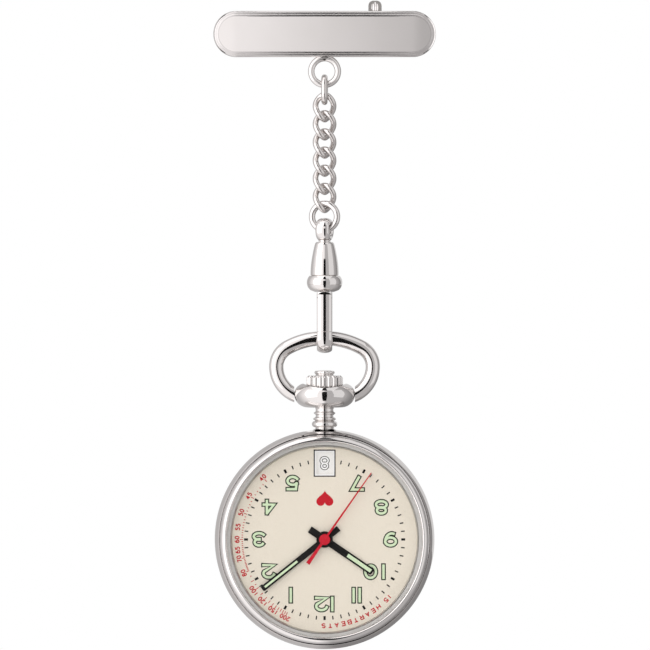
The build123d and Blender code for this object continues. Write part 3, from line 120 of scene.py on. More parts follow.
def smooth(mesh, crease):
    """Smooth shading, with a sharp edge wherever two faces turn by more than `crease` degrees."""
    mesh.shade_smooth()
    mesh.set_sharp_from_angle(angle=radians(crease))


def piece(name, surfaces, body, material, stands_for=(), crease=38):
    """One object from a list of surfaces, each (points in mm, face blocks)."""
    points, faces, first = [], [], 0
    for surface_points, blocks in surfaces:
        points.append(surface_points)
        for block in blocks:
            faces.extend((np.asarray(block) + first).tolist())
        first += len(surface_points)
    mesh = bpy.data.meshes.new(name)
    mesh.from_pydata((np.concatenate(points) * MM).tolist(), [], faces)
    shell = bmesh.new()
    shell.from_mesh(mesh)
    bmesh.ops.remove_doubles(shell, verts=shell.verts, dist=2e-7)
    bmesh.ops.recalc_face_normals(shell, faces=shell.faces)
    shell.to_mesh(mesh)
    shell.free()
    smooth(mesh, crease)
    print(f"{name}: {len(mesh.polygons)} faces")
    return dress(new_object(name, mesh), body, material, stands_for)


# %% [markdown]
# ## Three ways to make a surface
# A lathe turns a profile about an axis, a sweep carries a cross-section along a path, and a ribbon is
# the thin flat stroke that a printed number is made of. Corners of a profile are softened first,
# because a polished edge is never quite sharp and its narrow highlight is what shows its shape.


# %% Soft corners, lathe and sweep
def soften(corners, reach, steps=5, closed=False):
    """A polyline whose corners become parabolas that start `reach` before and end `reach` after them."""
    corners = np.asarray(corners, float)
    back, ahead = np.roll(corners, 1, 0) - corners, np.roll(corners, -1, 0) - corners
    back_length = np.linalg.norm(back, axis=1, keepdims=True)
    ahead_length = np.linalg.norm(ahead, axis=1, keepdims=True)
    start = corners + back / back_length * np.minimum(reach, 0.45 * back_length)
    end = corners + ahead / ahead_length * np.minimum(reach, 0.45 * ahead_length)
    t = np.linspace(0, 1, steps)[None, :, None]
    curve = (1 - t) ** 2 * start[:, None] + 2 * t * (1 - t) * corners[:, None] + t**2 * end[:, None]
    if closed:
        return curve.reshape(-1, 2)
    return np.concatenate([corners[:1], curve[1:-1].reshape(-1, 2), corners[-1:]])


def lathe(profile, about="hang", segments=160, ripple=0.0, closed=False):
    """A profile of (radius, height) turned about an axis: (r cos t, r sin t) at each height.

    About "hang" the axis is upright through the chain and heights are Z. About "watch" the axis runs
    front to back through the case and heights are Y. `ripple` is taken off the radius, row by column.
    """
    radius, height = np.asarray(profile, float).T
    turn = np.linspace(0, 2 * np.pi, segments, endpoint=False)
    reach = radius[:, None] - ripple * np.ones((1, segments))
    level = height[:, None] * np.ones((1, segments))
    across, along = reach * np.cos(turn), reach * np.sin(turn)
    if about == "hang":
        points = np.stack([across, along + HANG_Y, level], axis=-1)
    else:
        points = np.stack([across, level, along + CASE_Z], axis=-1)
    return points.reshape(-1, 3), [grid_faces(len(radius), segments, closed=closed)]


def circle(radius, count=28):
    """Points of a round cross-section: radius times (cos t, sin t)."""
    turn = np.linspace(0, 2 * np.pi, count, endpoint=False)
    return radius * np.stack([np.cos(turn), np.sin(turn)], axis=1)


def sweep(path, section, side, closed=True):
    """A cross-section carried along a path, square to it at each point.

    The section's first axis is `side` made square to the path, and its second is path direction x side.
    """
    path = np.asarray(path, float)
    if closed:
        direction = np.roll(path, -1, 0) - np.roll(path, 1, 0)
    else:
        direction = np.gradient(path, axis=0)
    direction /= np.linalg.norm(direction, axis=1, keepdims=True)
    side = np.broadcast_to(side, path.shape)
    side = side - (side * direction).sum(1, keepdims=True) * direction
    side = side / np.linalg.norm(side, axis=1, keepdims=True)
    other = np.cross(direction, side)
    points = path[:, None] + section[None, :, :1] * side[:, None] + section[None, :, 1:] * other[:, None]
    rows, columns = points.shape[:2]
    blocks = [grid_faces(rows, columns, closed=closed)]
    if not closed:
        ends = np.arange(columns)
        blocks += [ends[None, ::-1], ends[None] + (rows - 1) * columns]
    return points.reshape(-1, 3), blocks


# %% [markdown]
# ## Finishes
# Every finish is one Principled shader with three small patterns on it: a slow mottle in the colour, a
# change in roughness, and a fine bump. Their sizes come from the real surface in millimetres. Colours
# are written as sRGB hex numbers, as on a paint card, and one function turns them to linear light.


# %% Colours and nodes
def linear(hex_colour):
    """sRGB hex to linear: c / 12.92 below 0.04045, else ((c + 0.055) / 1.055) ** 2.4."""
    channels = np.array([int(hex_colour[i:i + 2], 16) for i in (1, 3, 5)]) / 255
    light = np.where(channels <= 0.04045, channels / 12.92, ((channels + 0.055) / 1.055) ** 2.4)
    return (*light.tolist(), 1.0)


def add_node(tree, kind, settings=None, values=None, links=None):
    """One node with its settings, its unlinked input values and its input links."""
    node = tree.nodes.new(kind)
    for key, value in (settings or {}).items():
        setattr(node, key, value)
    for key, value in (values or {}).items():
        node.inputs[key].default_value = value
    for key, socket in (links or {}).items():
        tree.links.new(socket, node.inputs[key])
    return node


# %% One function for a finish
def finish(name, colour, mottled, mottle_mm, metallic, roughness, grain_mm, bump_um,
           stretch=(1, 1, 1), rings=False, alpha=1.0, ior=1.5):
    """A named material: colour between two hex values, roughness between two numbers, and a bump.

    The mottle is noise of mottle_mm. The grain is noise of grain_mm, or rings about the watch's axis,
    and it sets the roughness and a bump of bump_um micrometres.
    """
    material = bpy.data.materials.new(name)
    material.use_nodes = True
    tree = material.node_tree
    tree.nodes.clear()
    place = add_node(tree, "ShaderNodeTexCoord").outputs["Object"]
    slow = add_node(tree, "ShaderNodeTexNoise", {}, {"Scale": 1 / (mottle_mm * MM), "Detail": 3.0},
                    {"Vector": place})
    # a Mix node keeps its colours on inputs 6 and 7, and gives a colour on output 2
    shade = add_node(tree, "ShaderNodeMix", {"data_type": "RGBA"}, {6: linear(colour), 7: linear(mottled)},
                     {"Factor": slow.outputs[0]})
    if rings:
        centred = add_node(tree, "ShaderNodeMapping", {}, {"Location": (0, 0, -CASE_Z * MM)},
                           {"Vector": place})
        fine = add_node(tree, "ShaderNodeTexWave", {"wave_type": "RINGS", "rings_direction": "Y"},
                        {"Scale": 0.16 / (grain_mm * MM), "Distortion": 1.5, "Detail": 2.0},
                        {"Vector": centred.outputs["Vector"]})
        grain = fine.outputs[1]
    else:
        spread = add_node(tree, "ShaderNodeMapping", {}, {"Scale": stretch}, {"Vector": place})
        fine = add_node(tree, "ShaderNodeTexNoise", {}, {"Scale": 1 / (grain_mm * MM), "Detail": 4.0},
                        {"Vector": spread.outputs["Vector"]})
        grain = fine.outputs[0]
    gloss = add_node(tree, "ShaderNodeMapRange", {},
                     {"To Min": roughness[0], "To Max": roughness[1]}, {"Value": grain})
    bump = add_node(tree, "ShaderNodeBump", {}, {"Strength": 1.0, "Distance": bump_um * 1e-6},
                    {"Height": grain})
    values = {"Metallic": metallic, "Alpha": alpha}
    if metallic < 1:
        values["IOR"] = ior
    shader = add_node(tree, "ShaderNodeBsdfPrincipled", {}, values, {
        "Base Color": shade.outputs[2], "Roughness": gloss.outputs["Result"],
        "Normal": bump.outputs["Normal"],
    })
    add_node(tree, "ShaderNodeOutputMaterial", {}, {}, {"Surface": shader.outputs["BSDF"]})
    return material


# %% The finishes of this watch
# Polished stainless steel, 316L: a mirror with the faint haze and waviness of a buffing wheel.
bright_steel = finish("buffed_stainless_steel", "#e9e6e5", "#e1dedc", 6.0, 1.0, (0.05, 0.09), 1.2, 0.25)
# The pressed step on the brooch bar, which the buff doesn't reach: rougher, and darker as painted shade for
# the groove under the rim.
step_shaded_steel = finish("step_shaded_stainless_steel", "#dcd9d8", "#d4d1d0", 4.0, 1.0, (0.20, 0.25), 0.8, 0.3)
# The chain is barrel polished, so it is a little softer.
chain_steel = finish("barrel_polished_steel", "#e4e0de", "#d4d0ce", 1.2, 1.0, (0.08, 0.15), 0.5, 0.8)
# The case back is satin finished in rings by a turning brush; 0.12 mm lines are drawn as coarse as 0.2.
ring_steel = finish("ring_brushed_steel", "#c9c7c4", "#bebbb8", 4.0, 1.0, (0.24, 0.36), 0.20, 1.2, rings=True)
# Drawn wire and pressed hardware behind the brooch: fine lines along the draw.
drawn_steel = finish("drawn_spring_steel", "#bdbbb8", "#a9a6a3", 1.5, 1.0, (0.20, 0.32), 0.10, 0.9,
                     stretch=(0.1, 1, 1))
# The sloping ring inside the crystal is fine bead-blasted steel.
blasted_steel = finish("bead_blasted_steel", "#c9c8c6", "#b9b8b6", 1.0, 1.0, (0.34, 0.46), 0.08, 1.0)
# Crystal: hardened mineral glass with a clear coating; almost all that is seen of it is a faint sheen.
mineral_glass = finish("coated_mineral_glass", "#101212", "#161919", 8.0, 0.0, (0.02, 0.04), 3.0, 0.05,
                       alpha=0.05, ior=1.52)
seal_rubber = finish("nitrile_rubber", "#1c1c1c", "#262626", 0.4, 0.0, (0.55, 0.75), 0.06, 4.0)
clear_nylon = finish("natural_nylon", "#d2d0cc", "#c6c4c0", 0.8, 0.0, (0.30, 0.45), 0.10, 1.5, ior=1.53)
ivory_plastic = finish("moulded_acetal", "#d8d4c6", "#cdc8b8", 2.0, 0.0, (0.38, 0.52), 0.15, 2.0, ior=1.48)
# Dial: cream lacquer, sprayed over a fine grained brass blank.
cream_lacquer = finish("grained_cream_lacquer", "#f2eada", "#e8dfcd", 0.22, 0.0, (0.42, 0.60), 0.11, 5.0)
white_ink = finish("white_dial_ink", "#ffffff", "#fafaf8", 0.5, 0.0, (0.45, 0.6), 0.10, 1.5)
# Luminous paint: a grainy pale green that stands a little proud.
green_lume = finish("luminous_paint", "#dcefcb", "#cfe4bb", 0.12, 0.0, (0.6, 0.8), 0.06, 5.0)
outline_ink = finish("dark_outline_ink", "#223020", "#182418", 0.3, 0.0, (0.45, 0.6), 0.10, 1.5, ior=1.35)
black_ink = finish("black_dial_ink", "#100f0e", "#191716", 0.3, 0.0, (0.45, 0.6), 0.10, 1.5, ior=1.35)
red_ink = finish("red_dial_ink", "#cf1327", "#bd1022", 0.3, 0.0, (0.45, 0.6), 0.10, 1.5, ior=1.35)
# Hands: stamped brass with a smooth satin lacquer.
black_lacquer = finish("black_hand_lacquer", "#141312", "#1e1c1b", 0.8, 0.0, (0.30, 0.42), 0.20, 0.6,
                       ior=1.38)
red_lacquer = finish("red_hand_lacquer", "#d2152e", "#c01228", 0.8, 0.0, (0.30, 0.42), 0.20, 0.6, ior=1.38)
nickel_plate = finish("nickel_plated_brass", "#c3bfb4", "#b4afa3", 1.5, 1.0, (0.22, 0.34), 0.08, 1.0,
                      stretch=(1, 1, 0.08))
cell_steel = finish("button_cell_steel", "#c4c3c0", "#b3b2ae", 1.2, 1.0, (0.18, 0.30), 0.12, 0.8)
copper_winding = finish("enamelled_copper_wire", "#b0602f", "#8e4621", 0.3, 1.0, (0.25, 0.40), 0.07, 9.0,
                        stretch=(1, 0.1, 0.1))
soft_iron = finish("soft_iron_sheet", "#8e8d8a", "#7c7b78", 0.8, 1.0, (0.30, 0.44), 0.10, 1.2)
board_mask = finish("green_solder_mask", "#1b5a34", "#14492a", 0.9, 0.0, (0.22, 0.36), 0.30, 4.0)
dark_magnet = finish("sintered_magnet", "#39393b", "#2c2c2e", 0.2, 0.7, (0.40, 0.55), 0.06, 3.0)
gear_brass = finish("turned_gear_brass", "#d3a650", "#bf9242", 0.8, 1.0, (0.20, 0.32), 0.08, 1.0)
ground_steel = finish("ground_setting_steel", "#a6a4a1", "#94928f", 0.5, 1.0, (0.22, 0.34), 0.07, 1.0,
                      stretch=(1, 1, 0.1))
print(len(bpy.data.materials), "materials")

# %% [markdown]
# ## The brooch bar
# The bar is a stadium: a short middle line with a constant reach round it. Its rim and its pillowed
# field are the same outline drawn in by a little more each row while the depth changes, so the whole
# bar is one grid of (place along the outline) by (step of the relief). The last row reaches the middle
# line, where both sides meet and are welded shut. The faces of the pressed step get a finish of their
# own: rougher, because the buffing wheel passes over them, and darker, as painted shade for the groove
# under the rim, which shows there as a soft grey line.


# %% The bar and its eyelet
BAR_REACH, BAR_HALF, BAR_Z, FRONT_FALL = 2.95, 14.225, -1.25, 0.17


def stadium_plate(relief, turns=48, runs=60):
    """Rows of a stadium: middle line + (reach - inset) * outward direction, at each (inset, depth)."""
    turn = np.linspace(-np.pi / 2, np.pi / 2, turns)
    run = np.linspace(1, -1, runs + 2)[1:-1]
    end = BAR_HALF - BAR_REACH
    core = np.concatenate([np.full(turns, end), end * run, np.full(turns, -end), -end * run])
    outward = np.concatenate([
        np.stack([np.cos(turn), np.sin(turn)], 1), np.tile([0, 1.0], (runs, 1)),
        np.stack([-np.cos(turn), -np.sin(turn)], 1), np.tile([0, -1.0], (runs, 1)),
    ])
    inset, depth = np.asarray(relief, float).T
    reach = (BAR_REACH - inset)[:, None]
    x = core + reach * outward[:, 0]
    z = BAR_Z + reach * outward[:, 1]
    fall = FRONT_FALL * (x / BAR_HALF) ** 2 * (depth[:, None] < -3.3)
    y = depth[:, None] + fall
    return np.stack([x, y, z], -1).reshape(-1, 3), [grid_faces(len(relief), len(core))]


rim = soften([(BAR_REACH, -2.2), (0.10, -2.2), (0.0, -2.34), (0.0, -3.22), (0.22, -3.45), (0.40, -3.46),
              (0.48, -3.57), (0.70, -3.60)], 0.08, 5)
pillow_inset = np.linspace(0.70, BAR_REACH, 24)[1:]
pillow = np.stack([pillow_inset, -3.60 - 0.02 * (1 - ((BAR_REACH - pillow_inset) / 2.25) ** 2)], 1)
brooch_plate = piece("brooch_plate", [stadium_plate(np.concatenate([rim, pillow]))], "brooch",
                     bright_steel, ("brooch_bar",), crease=50)

# faces of the step, found by how far their middles are drawn in from the outline
STEP_FROM, STEP_TO, STEP_Y = 0.04, 0.72, -3.2
# the step faces take the second finish, rougher and darker; the darker colour is painted shade for the groove
# under the rim
brooch_plate.data.materials.append(step_shaded_steel)
centres = np.empty(len(brooch_plate.data.polygons) * 3)
brooch_plate.data.polygons.foreach_get("center", centres)
x, y, z = centres.reshape(-1, 3).T / MM
inset = BAR_REACH - np.hypot(np.maximum(np.abs(x) - (BAR_HALF - BAR_REACH), 0), z - BAR_Z)
stepped = (inset > STEP_FROM) & (inset < STEP_TO) & (y < STEP_Y)
brooch_plate.data.polygons.foreach_set("material_index", stepped.astype(np.int32))
print("stepped faces", int(stepped.sum()), "of", len(stepped))

EYELET_R, EYELET_Z, EYELET_WIRE = 1.70, -6.03, 0.42
turn = np.linspace(0, 2 * np.pi, 96, endpoint=False)
eyelet_path = np.stack([EYELET_R * np.cos(turn), 0 * turn + HANG_Y, EYELET_Z + EYELET_R * np.sin(turn)], 1)
piece("brooch_eyelet", [sweep(eyelet_path, circle(EYELET_WIRE), (0, 1, 0))], "brooch",
      bright_steel)

# %% [markdown]
# ## The safety catch
# Above the bar stands the little tab that turns the catch. It is a barrel with upright grip grooves and
# a narrow neck. The grooves are a ripple taken off the front and back of an upright oval bar.


# %% The catch tab
def grooved_tab():
    """Rows up the tab: an oval of half width w and half depth d, less a ripple of 7 grooves across it."""
    heights = np.array([1.02, 1.40, 1.52, 1.72, 1.84, 2.35, 2.62, 2.84, 3.00, 3.08, 3.10])
    widths = np.array([0.46, 0.46, 0.50, 0.80, 0.85, 0.85, 0.83, 0.76, 0.60, 0.36, 0.0])
    depths = np.array([0.40, 0.40, 0.42, 0.50, 0.52, 0.52, 0.50, 0.45, 0.34, 0.20, 0.0])
    grip = np.array([0, 0, 0, 0.6, 1, 1, 1, 0.8, 0.3, 0, 0]) * 0.05
    turn = np.linspace(0, 2 * np.pi, 168, endpoint=False)
    across = np.sign(np.cos(turn)) * np.abs(np.cos(turn)) ** 0.8
    deep = np.sign(np.sin(turn)) * np.abs(np.sin(turn)) ** 0.8
    ripple = grip[:, None] * (0.5 + 0.5 * np.cos(7 * np.pi * across))
    x = 6.46 + (widths[:, None] - 0.3 * ripple) * across
    y = (depths[:, None] - ripple) * deep
    z = heights[:, None] * np.ones_like(turn)
    base = np.arange(len(turn))[None]
    return np.stack([x, y, z], -1).reshape(-1, 3), [grid_faces(len(heights), len(turn)), base]


piece("catch_tab", [grooved_tab()], "catch", bright_steel, crease=60)

# %% [markdown]
# ## The chain
# A curb link is an oval of round wire that has been twisted, so that the links lie flat on each other.
# Its middle line is (a sin t, b cos t) turned about its own length by an angle that runs evenly from
# one end to the other. The long jump link at the top is a plain oval seen from its edge.

# %% Curb links, jump link and jump ring
LINK_HALF_WIDTH, LINK_HALF_LENGTH, LINK_TWIST, LINK_FACING = 1.17, 1.59, 100, 12


def curb_path(top):
    """The twisted oval: (a sin t cos w, a sin t sin w, b cos t), with w = facing - twist / 2 * cos t."""
    turn = np.linspace(0, 2 * np.pi, 96, endpoint=False)
    across, height = LINK_HALF_WIDTH * np.sin(turn), LINK_HALF_LENGTH * np.cos(turn)
    twist = np.radians(LINK_FACING - LINK_TWIST / 2 * np.cos(turn))
    return np.stack([across * np.cos(twist), across * np.sin(twist) + HANG_Y, height + top], 1)


FIRST_LINK_Z, LINK_PITCH, CURB_WIRE = -10.60, 2.32, 0.37
for number in range(6):
    centre = FIRST_LINK_Z - LINK_PITCH * number
    path = curb_path(centre)
    from_centre = path - (0, HANG_Y, centre)
    piece(f"curb_wire_{number + 1}", [sweep(path, circle(CURB_WIRE, 24), from_centre)],
          f"curb_link_{number + 1}", chain_steel, (f"curb_link_{number + 1}",))


def flat_ring(half_width, half_straight, facing, height, count=96):
    """A ring or a long oval in an upright plane: a circle whose upper half is moved up and lower down."""
    turn = np.linspace(0, 2 * np.pi, count, endpoint=False) + 0.5 * 2 * np.pi / count
    across = half_width * np.cos(turn)
    up = half_width * np.sin(turn) + half_straight * np.sign(np.sin(turn))
    return np.stack([across * np.cos(radians(facing)), HANG_Y + across * np.sin(radians(facing)),
                     height + up], 1)


def square_to(facing):
    """The level direction square to an upright plane with this facing."""
    return (np.sin(radians(facing)), -np.cos(radians(facing)), 0)


piece("jump_wire", [sweep(flat_ring(1.10, 0.47, 88, -8.36), circle(0.40), square_to(88))],
      "jump_link", chain_steel, ("jump_link",))
piece("ring_wire", [sweep(flat_ring(1.66, 0.0, -16, -24.60), circle(0.41), square_to(-16))],
      "jump_ring", bright_steel, ("jump_ring",))

# %% [markdown]
# ## The swivel clip
# The eye is a wide ring on a shank that turns inside a bell-shaped collar. Under the bell is a bead, and
# from it come the hook and the sprung gate, two half-round strands that meet at the nose.

# %% Eye, bell and bead
eye_turn = np.linspace(0, 2 * np.pi, 64, endpoint=False)
EYE_R, EYE_Z, EYE_FACING = 1.10, -26.29, -16 + 90
eye_path = np.stack([EYE_R * np.cos(eye_turn) * np.cos(radians(EYE_FACING)),
                     HANG_Y + EYE_R * np.cos(eye_turn) * np.sin(radians(EYE_FACING)),
                     EYE_Z + EYE_R * np.sin(eye_turn)], 1)
eye_section = circle(1.0, 32) * (0.90, 0.45)
shank = lathe([(0, -27.0), (0.70, -27.1), (0.78, -27.4), (0.78, -27.78), (0.60, -27.80), (0.60, -31.0),
               (1.0, -31.0), (1.0, -31.55), (0, -31.55)], segments=64)
piece("eye_ring", [sweep(eye_path, eye_section, square_to(EYE_FACING)), shank], "eye",
      bright_steel, ("swivel_eye",))

bell_height = np.linspace(0, 1, 22)
bell_line = np.stack([1.20 + 0.60 * np.sin(bell_height * np.pi / 2) ** 0.9, -28.0 - 4.06 * bell_height], 1)
bead_turn = np.linspace(0.86, -1.05, 26)
bead_line = np.stack([1.24 + 1.03 * np.cos(bead_turn), -33.02 + 1.15 * np.sin(bead_turn)], 1)
bead_upper, bead_lower = bead_line[:15], bead_line[15:]
seam = [(bead_upper[-1, 0] - 0.05, bead_upper[-1, 1] - 0.03)]
bell_mouth = soften([(0.63, -30.95), (0.63, -27.84), (1.05, -27.84), (1.20, -28.0)], 0.08, 5)
inner = [(1.20, -34.23), (0.90, -34.23), (0.90, -31.75), (1.06, -31.75), (1.06, -30.95), (0.63, -30.95)]
bell_profile = np.concatenate([bell_mouth, bell_line[1:], [(1.68, -32.14)], bead_upper, seam, bead_lower,
                               inner])
piece("bell_collar", [lathe(bell_profile, segments=128)], "clip",
      bright_steel, ("clip_collar",), crease=32)


# %% Hook and gate
STRAND, HOOK_WIDTH, HOOK_THICK, HOOK_Z = 1.82, 1.98, 0.92, -39.75
bend = np.linspace(0, -np.pi, 48)
hook_y = np.concatenate([np.full(14, STRAND), STRAND * np.cos(bend), np.full(3, -STRAND)]) + HANG_Y
hook_z = np.concatenate([np.linspace(-34.25, HOOK_Z + 0.15, 14), HOOK_Z + STRAND * np.sin(bend),
                         [HOOK_Z + 0.14, HOOK_Z + 0.28, HOOK_Z + 0.40]])
hook_path = np.stack([0 * hook_y, hook_y, hook_z], 1)
hook_section = circle(0.5, 48) * (HOOK_WIDTH, HOOK_THICK)
hook_bar = sweep(hook_path, hook_section, (1, 0, 0), closed=False)
root_block = sweep([(0, HANG_Y - 1.12, -34.78), (0, HANG_Y + STRAND + 0.2, -34.78)],
                   circle(0.5, 40) * (HOOK_WIDTH - 0.1, 1.10), (1, 0, 0), closed=False)
tongue = sweep([(0, HANG_Y - 1.0, -34.95), (0, HANG_Y - STRAND, -34.95)],
               circle(0.5, 24) * (0.6, 0.82), (1, 0, 0), closed=False)
piece("hook_strand", [hook_bar, root_block, tongue], "clip", bright_steel,
      ("clip_hook",), crease=45)
gate_path = np.stack([np.zeros(12), np.full(12, HANG_Y - STRAND), np.linspace(-34.56, -39.25, 12)], 1)
piece("gate_strand", [sweep(gate_path, hook_section, (1, 0, 0), closed=False)], "gate",
      bright_steel, ("clip_gate",), crease=45)

# %% [markdown]
# ## The bow
# The bow is one round wire bent through three arcs a side. Every strand along the wire is itself an arc
# about the same centre, so the low ends can be cut square by stopping each strand where it reaches the
# cutting plane x = c, at the angle whose cosine is (c - centre) / strand radius.

# %% The bow
BOW_WIRE, BOW_CUT_X = 0.92, 3.88
BOW_MIDDLE_Z, SIDE_X, LOW_X, LOW_R = -43.75, 3.42, 2.22, 3.95
TOP_R, TOP_Z = 9.907, -50.037


def bow_wire():
    """Rows of rings: (R + r cos p)(cos a, sin a) in the bow's plane and r sin p out of it."""
    around = np.linspace(0, 2 * np.pi, 48, endpoint=False)
    shoulder = np.arctan2(BOW_MIDDLE_Z - TOP_Z, SIDE_X)
    cut_angle = np.arccos((BOW_CUT_X - LOW_X) / (LOW_R + BOW_WIRE * np.cos(around)))
    quarters = [(0, TOP_Z, TOP_R, np.linspace(np.pi / 2, shoulder, 40)[:, None]),
                (SIDE_X, BOW_MIDDLE_Z, 2.75, np.linspace(shoulder, 0, 40)[1:, None]),
                (LOW_X, BOW_MIDDLE_Z, LOW_R, -np.linspace(0, 1, 44)[1:, None] * cut_angle)]
    half = np.concatenate([
        np.stack([x + (r + BOW_WIRE * np.cos(around)) * np.cos(a),
                  HANG_Y + BOW_WIRE * np.sin(around) + 0 * a,
                  z + (r + BOW_WIRE * np.cos(around)) * np.sin(a)], -1) for x, z, r, a in quarters])
    whole = np.concatenate([half[::-1] * (-1, 1, 1), half[1:]])
    rows, columns = whole.shape[:2]
    ends = np.arange(columns)
    return whole.reshape(-1, 3), [grid_faces(rows, columns), ends[None, ::-1],
                                  ends[None] + (rows - 1) * columns]


piece("bow_ring", [bow_wire()], "bow", bright_steel, ("bow",), crease=50)

# %% [markdown]
# ## Solids that are right as they are
# The pendant, the hands and the small hardware already have their true shape in the design model. Each
# is shown as a clean copy: the same points welded at their seams, then shaded smooth, so that light
# runs over its round faces instead of breaking up on the facets.


# %% Show a design solid
def skin(node, material, crease=30):
    """The design solid itself, with its seams welded and its round faces shaded smooth."""
    solid = frame["nodes"][node]
    corners = np.empty(len(solid.data.vertices) * 3, np.float32)
    solid.data.vertices.foreach_get("co", corners)
    mesh = bpy.data.meshes.new(f"{node}_skin")
    mesh.from_pydata(corners.reshape(-1, 3).tolist(), [], [face.vertices[:] for face in solid.data.polygons])
    shell = bmesh.new()
    shell.from_mesh(mesh)
    bmesh.ops.remove_doubles(shell, verts=shell.verts, dist=5e-7)
    shell.to_mesh(mesh)
    shell.free()
    smooth(mesh, crease)
    return dress(new_object(f"{node}_skin", mesh), solid["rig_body"], material, (node,))


SKINS = {
    ("steel_brooch", drawn_steel): ["pin_hinge_bracket", "pin_hinge_rivet", "catch_housing", "catch_lock"],
    ("pin_wire", drawn_steel): ["brooch_pin"],
    ("steel_clip", bright_steel): ["gate_pin"],
    ("spring_steel", drawn_steel): ["gate_spring"],
    ("steel_case", bright_steel): ["bow_pins", "pendant"],
    ("seal_rubber", seal_rubber): ["crown_gasket", "case_back_gasket"],
    ("seal_rubber", clear_nylon): ["crystal_gasket"],
    ("holder_plastic", ivory_plastic): ["movement_holder"],
    ("hand_black", black_lacquer): ["hour_hand", "minute_hand"],
    ("hand_red", red_lacquer): ["seconds_hand"],
    ("movement_nickel", nickel_plate): ["main_plate", "train_bridge", "movement_screws"],
    ("cell_steel", cell_steel): ["battery", "battery_strap", "quartz_crystal"],
    ("coil_copper", copper_winding): ["coil"],
    ("stator_steel", soft_iron): ["stator"],
    ("board_green", board_mask): ["circuit_board"],
    ("rotor_magnet", dark_magnet): ["rotor"],
    ("wheel_brass", gear_brass): ["seconds_wheel", "intermediate_wheel", "third_wheel", "centre_wheel",
                                  "cannon_pinion", "minute_wheel", "hour_wheel", "setting_wheel"],
    ("date_driver_plastic", ivory_plastic): ["date_driving_wheel"],
    ("setting_steel", ground_steel): ["sliding_pinion", "setting_lever", "winding_stem"],
    ("dial_cream", cream_lacquer): ["dial"],
    ("date_white", white_ink): ["date_disc"],
}
for (skin_slot, skin_finish), solids in SKINS.items():
    for solid_name in solids:
        skin(solid_name, skin_finish)
print(sum(map(len, SKINS.values())), "design solids shown with their own shape")

# %% [markdown]
# ## The crown
# The crown is turned, and then a row of round flutes is milled into its skirt so that wet fingers can
# grip it. A flute of radius q whose centre stands at radius c takes off everything nearer than
# q to that centre, so the ripple in the radius is q's chord less the gap to the rim. The small button
# on top is pressed into eight soft lobes.

# %% The crown
CROWN_R, FLUTES, FLUTE_R, FLUTE_GAP = 2.35, 22, 0.235, 0.07
BUTTON_LOBES, LOBE_DEPTH = 8, 0.10
skirt = soften([(0, -46.50), (CROWN_R - 0.22, -46.50), (CROWN_R, -46.28), (CROWN_R, -45.19),
                (CROWN_R - 0.28, -44.91), (1.20, -44.91), (1.12, -44.78)], 0.06, 4)
button_turn = np.linspace(-0.5, np.pi / 2, 16)
button = np.stack([1.06 + 0.24 * np.cos(button_turn), -44.52 + 0.22 * np.sin(button_turn)], 1)
button_top = [(0.80, -44.25), (0.50, -44.22), (0.0, -44.21)]
crown_profile = np.concatenate([skirt, button, button_top])
crown_turn = np.linspace(0, 2 * np.pi, FLUTES * 16, endpoint=False)
from_flute = (crown_turn * FLUTES / (2 * np.pi) + 0.5) % 1 - 0.5
chord = FLUTE_R**2 - (from_flute * 2 * np.pi / FLUTES * CROWN_R) ** 2
flute = np.sqrt(np.maximum(chord, 0)) - FLUTE_GAP
on_skirt = np.clip((crown_profile[:, 0] - 1.75) / 0.4, 0, 1) * (crown_profile[:, 1] < -44.8)
on_button = np.exp(-(((crown_profile[:, 0] - 1.25) / 0.35) ** 2)) * (crown_profile[:, 1] > -44.8)
lobes = LOBE_DEPTH * (1 - np.abs(np.cos(BUTTON_LOBES / 2 * crown_turn)))
crown_ripple = on_skirt[:, None] * np.maximum(flute, 0) + on_button[:, None] * lobes
piece("crown_cap", [lathe(crown_profile, segments=len(crown_turn), ripple=crown_ripple)],
      "crown", bright_steel, ("crown",), crease=42)

# %% [markdown]
# ## The case
# The case is three turned rings and a back: the middle with its round outer wall, the bezel that holds
# the crystal, the sloping inner ring and the snap back. Each is one closed profile turned about the
# watch's axis. Only real rounding catches the light, so every corner of a profile is softened.


# %% Middle, bezel, sloping ring, back and crystal
def bulge(start, middle, end, count=20):
    """Points on the circle through three points: the profile of a rounded wall."""
    (ax, ay), (bx, by), (cx, cy) = start, middle, end
    d = 2 * (ax * (by - cy) + bx * (cy - ay) + cx * (ay - by))
    a2, b2, c2 = ax**2 + ay**2, bx**2 + by**2, cx**2 + cy**2
    centre = np.array([(a2 * (by - cy) + b2 * (cy - ay) + c2 * (ay - by)) / d,
                       (a2 * (cx - bx) + b2 * (ax - cx) + c2 * (bx - ax)) / d])
    turns = [np.arctan2(y - centre[1], x - centre[0]) for x, y in (start, middle, end)]
    first, _, last = np.unwrap(turns)
    turn = np.linspace(first, last, count)
    radius = np.hypot(ax - centre[0], ay - centre[1])
    return centre + radius * np.stack([np.cos(turn), np.sin(turn)], 1)


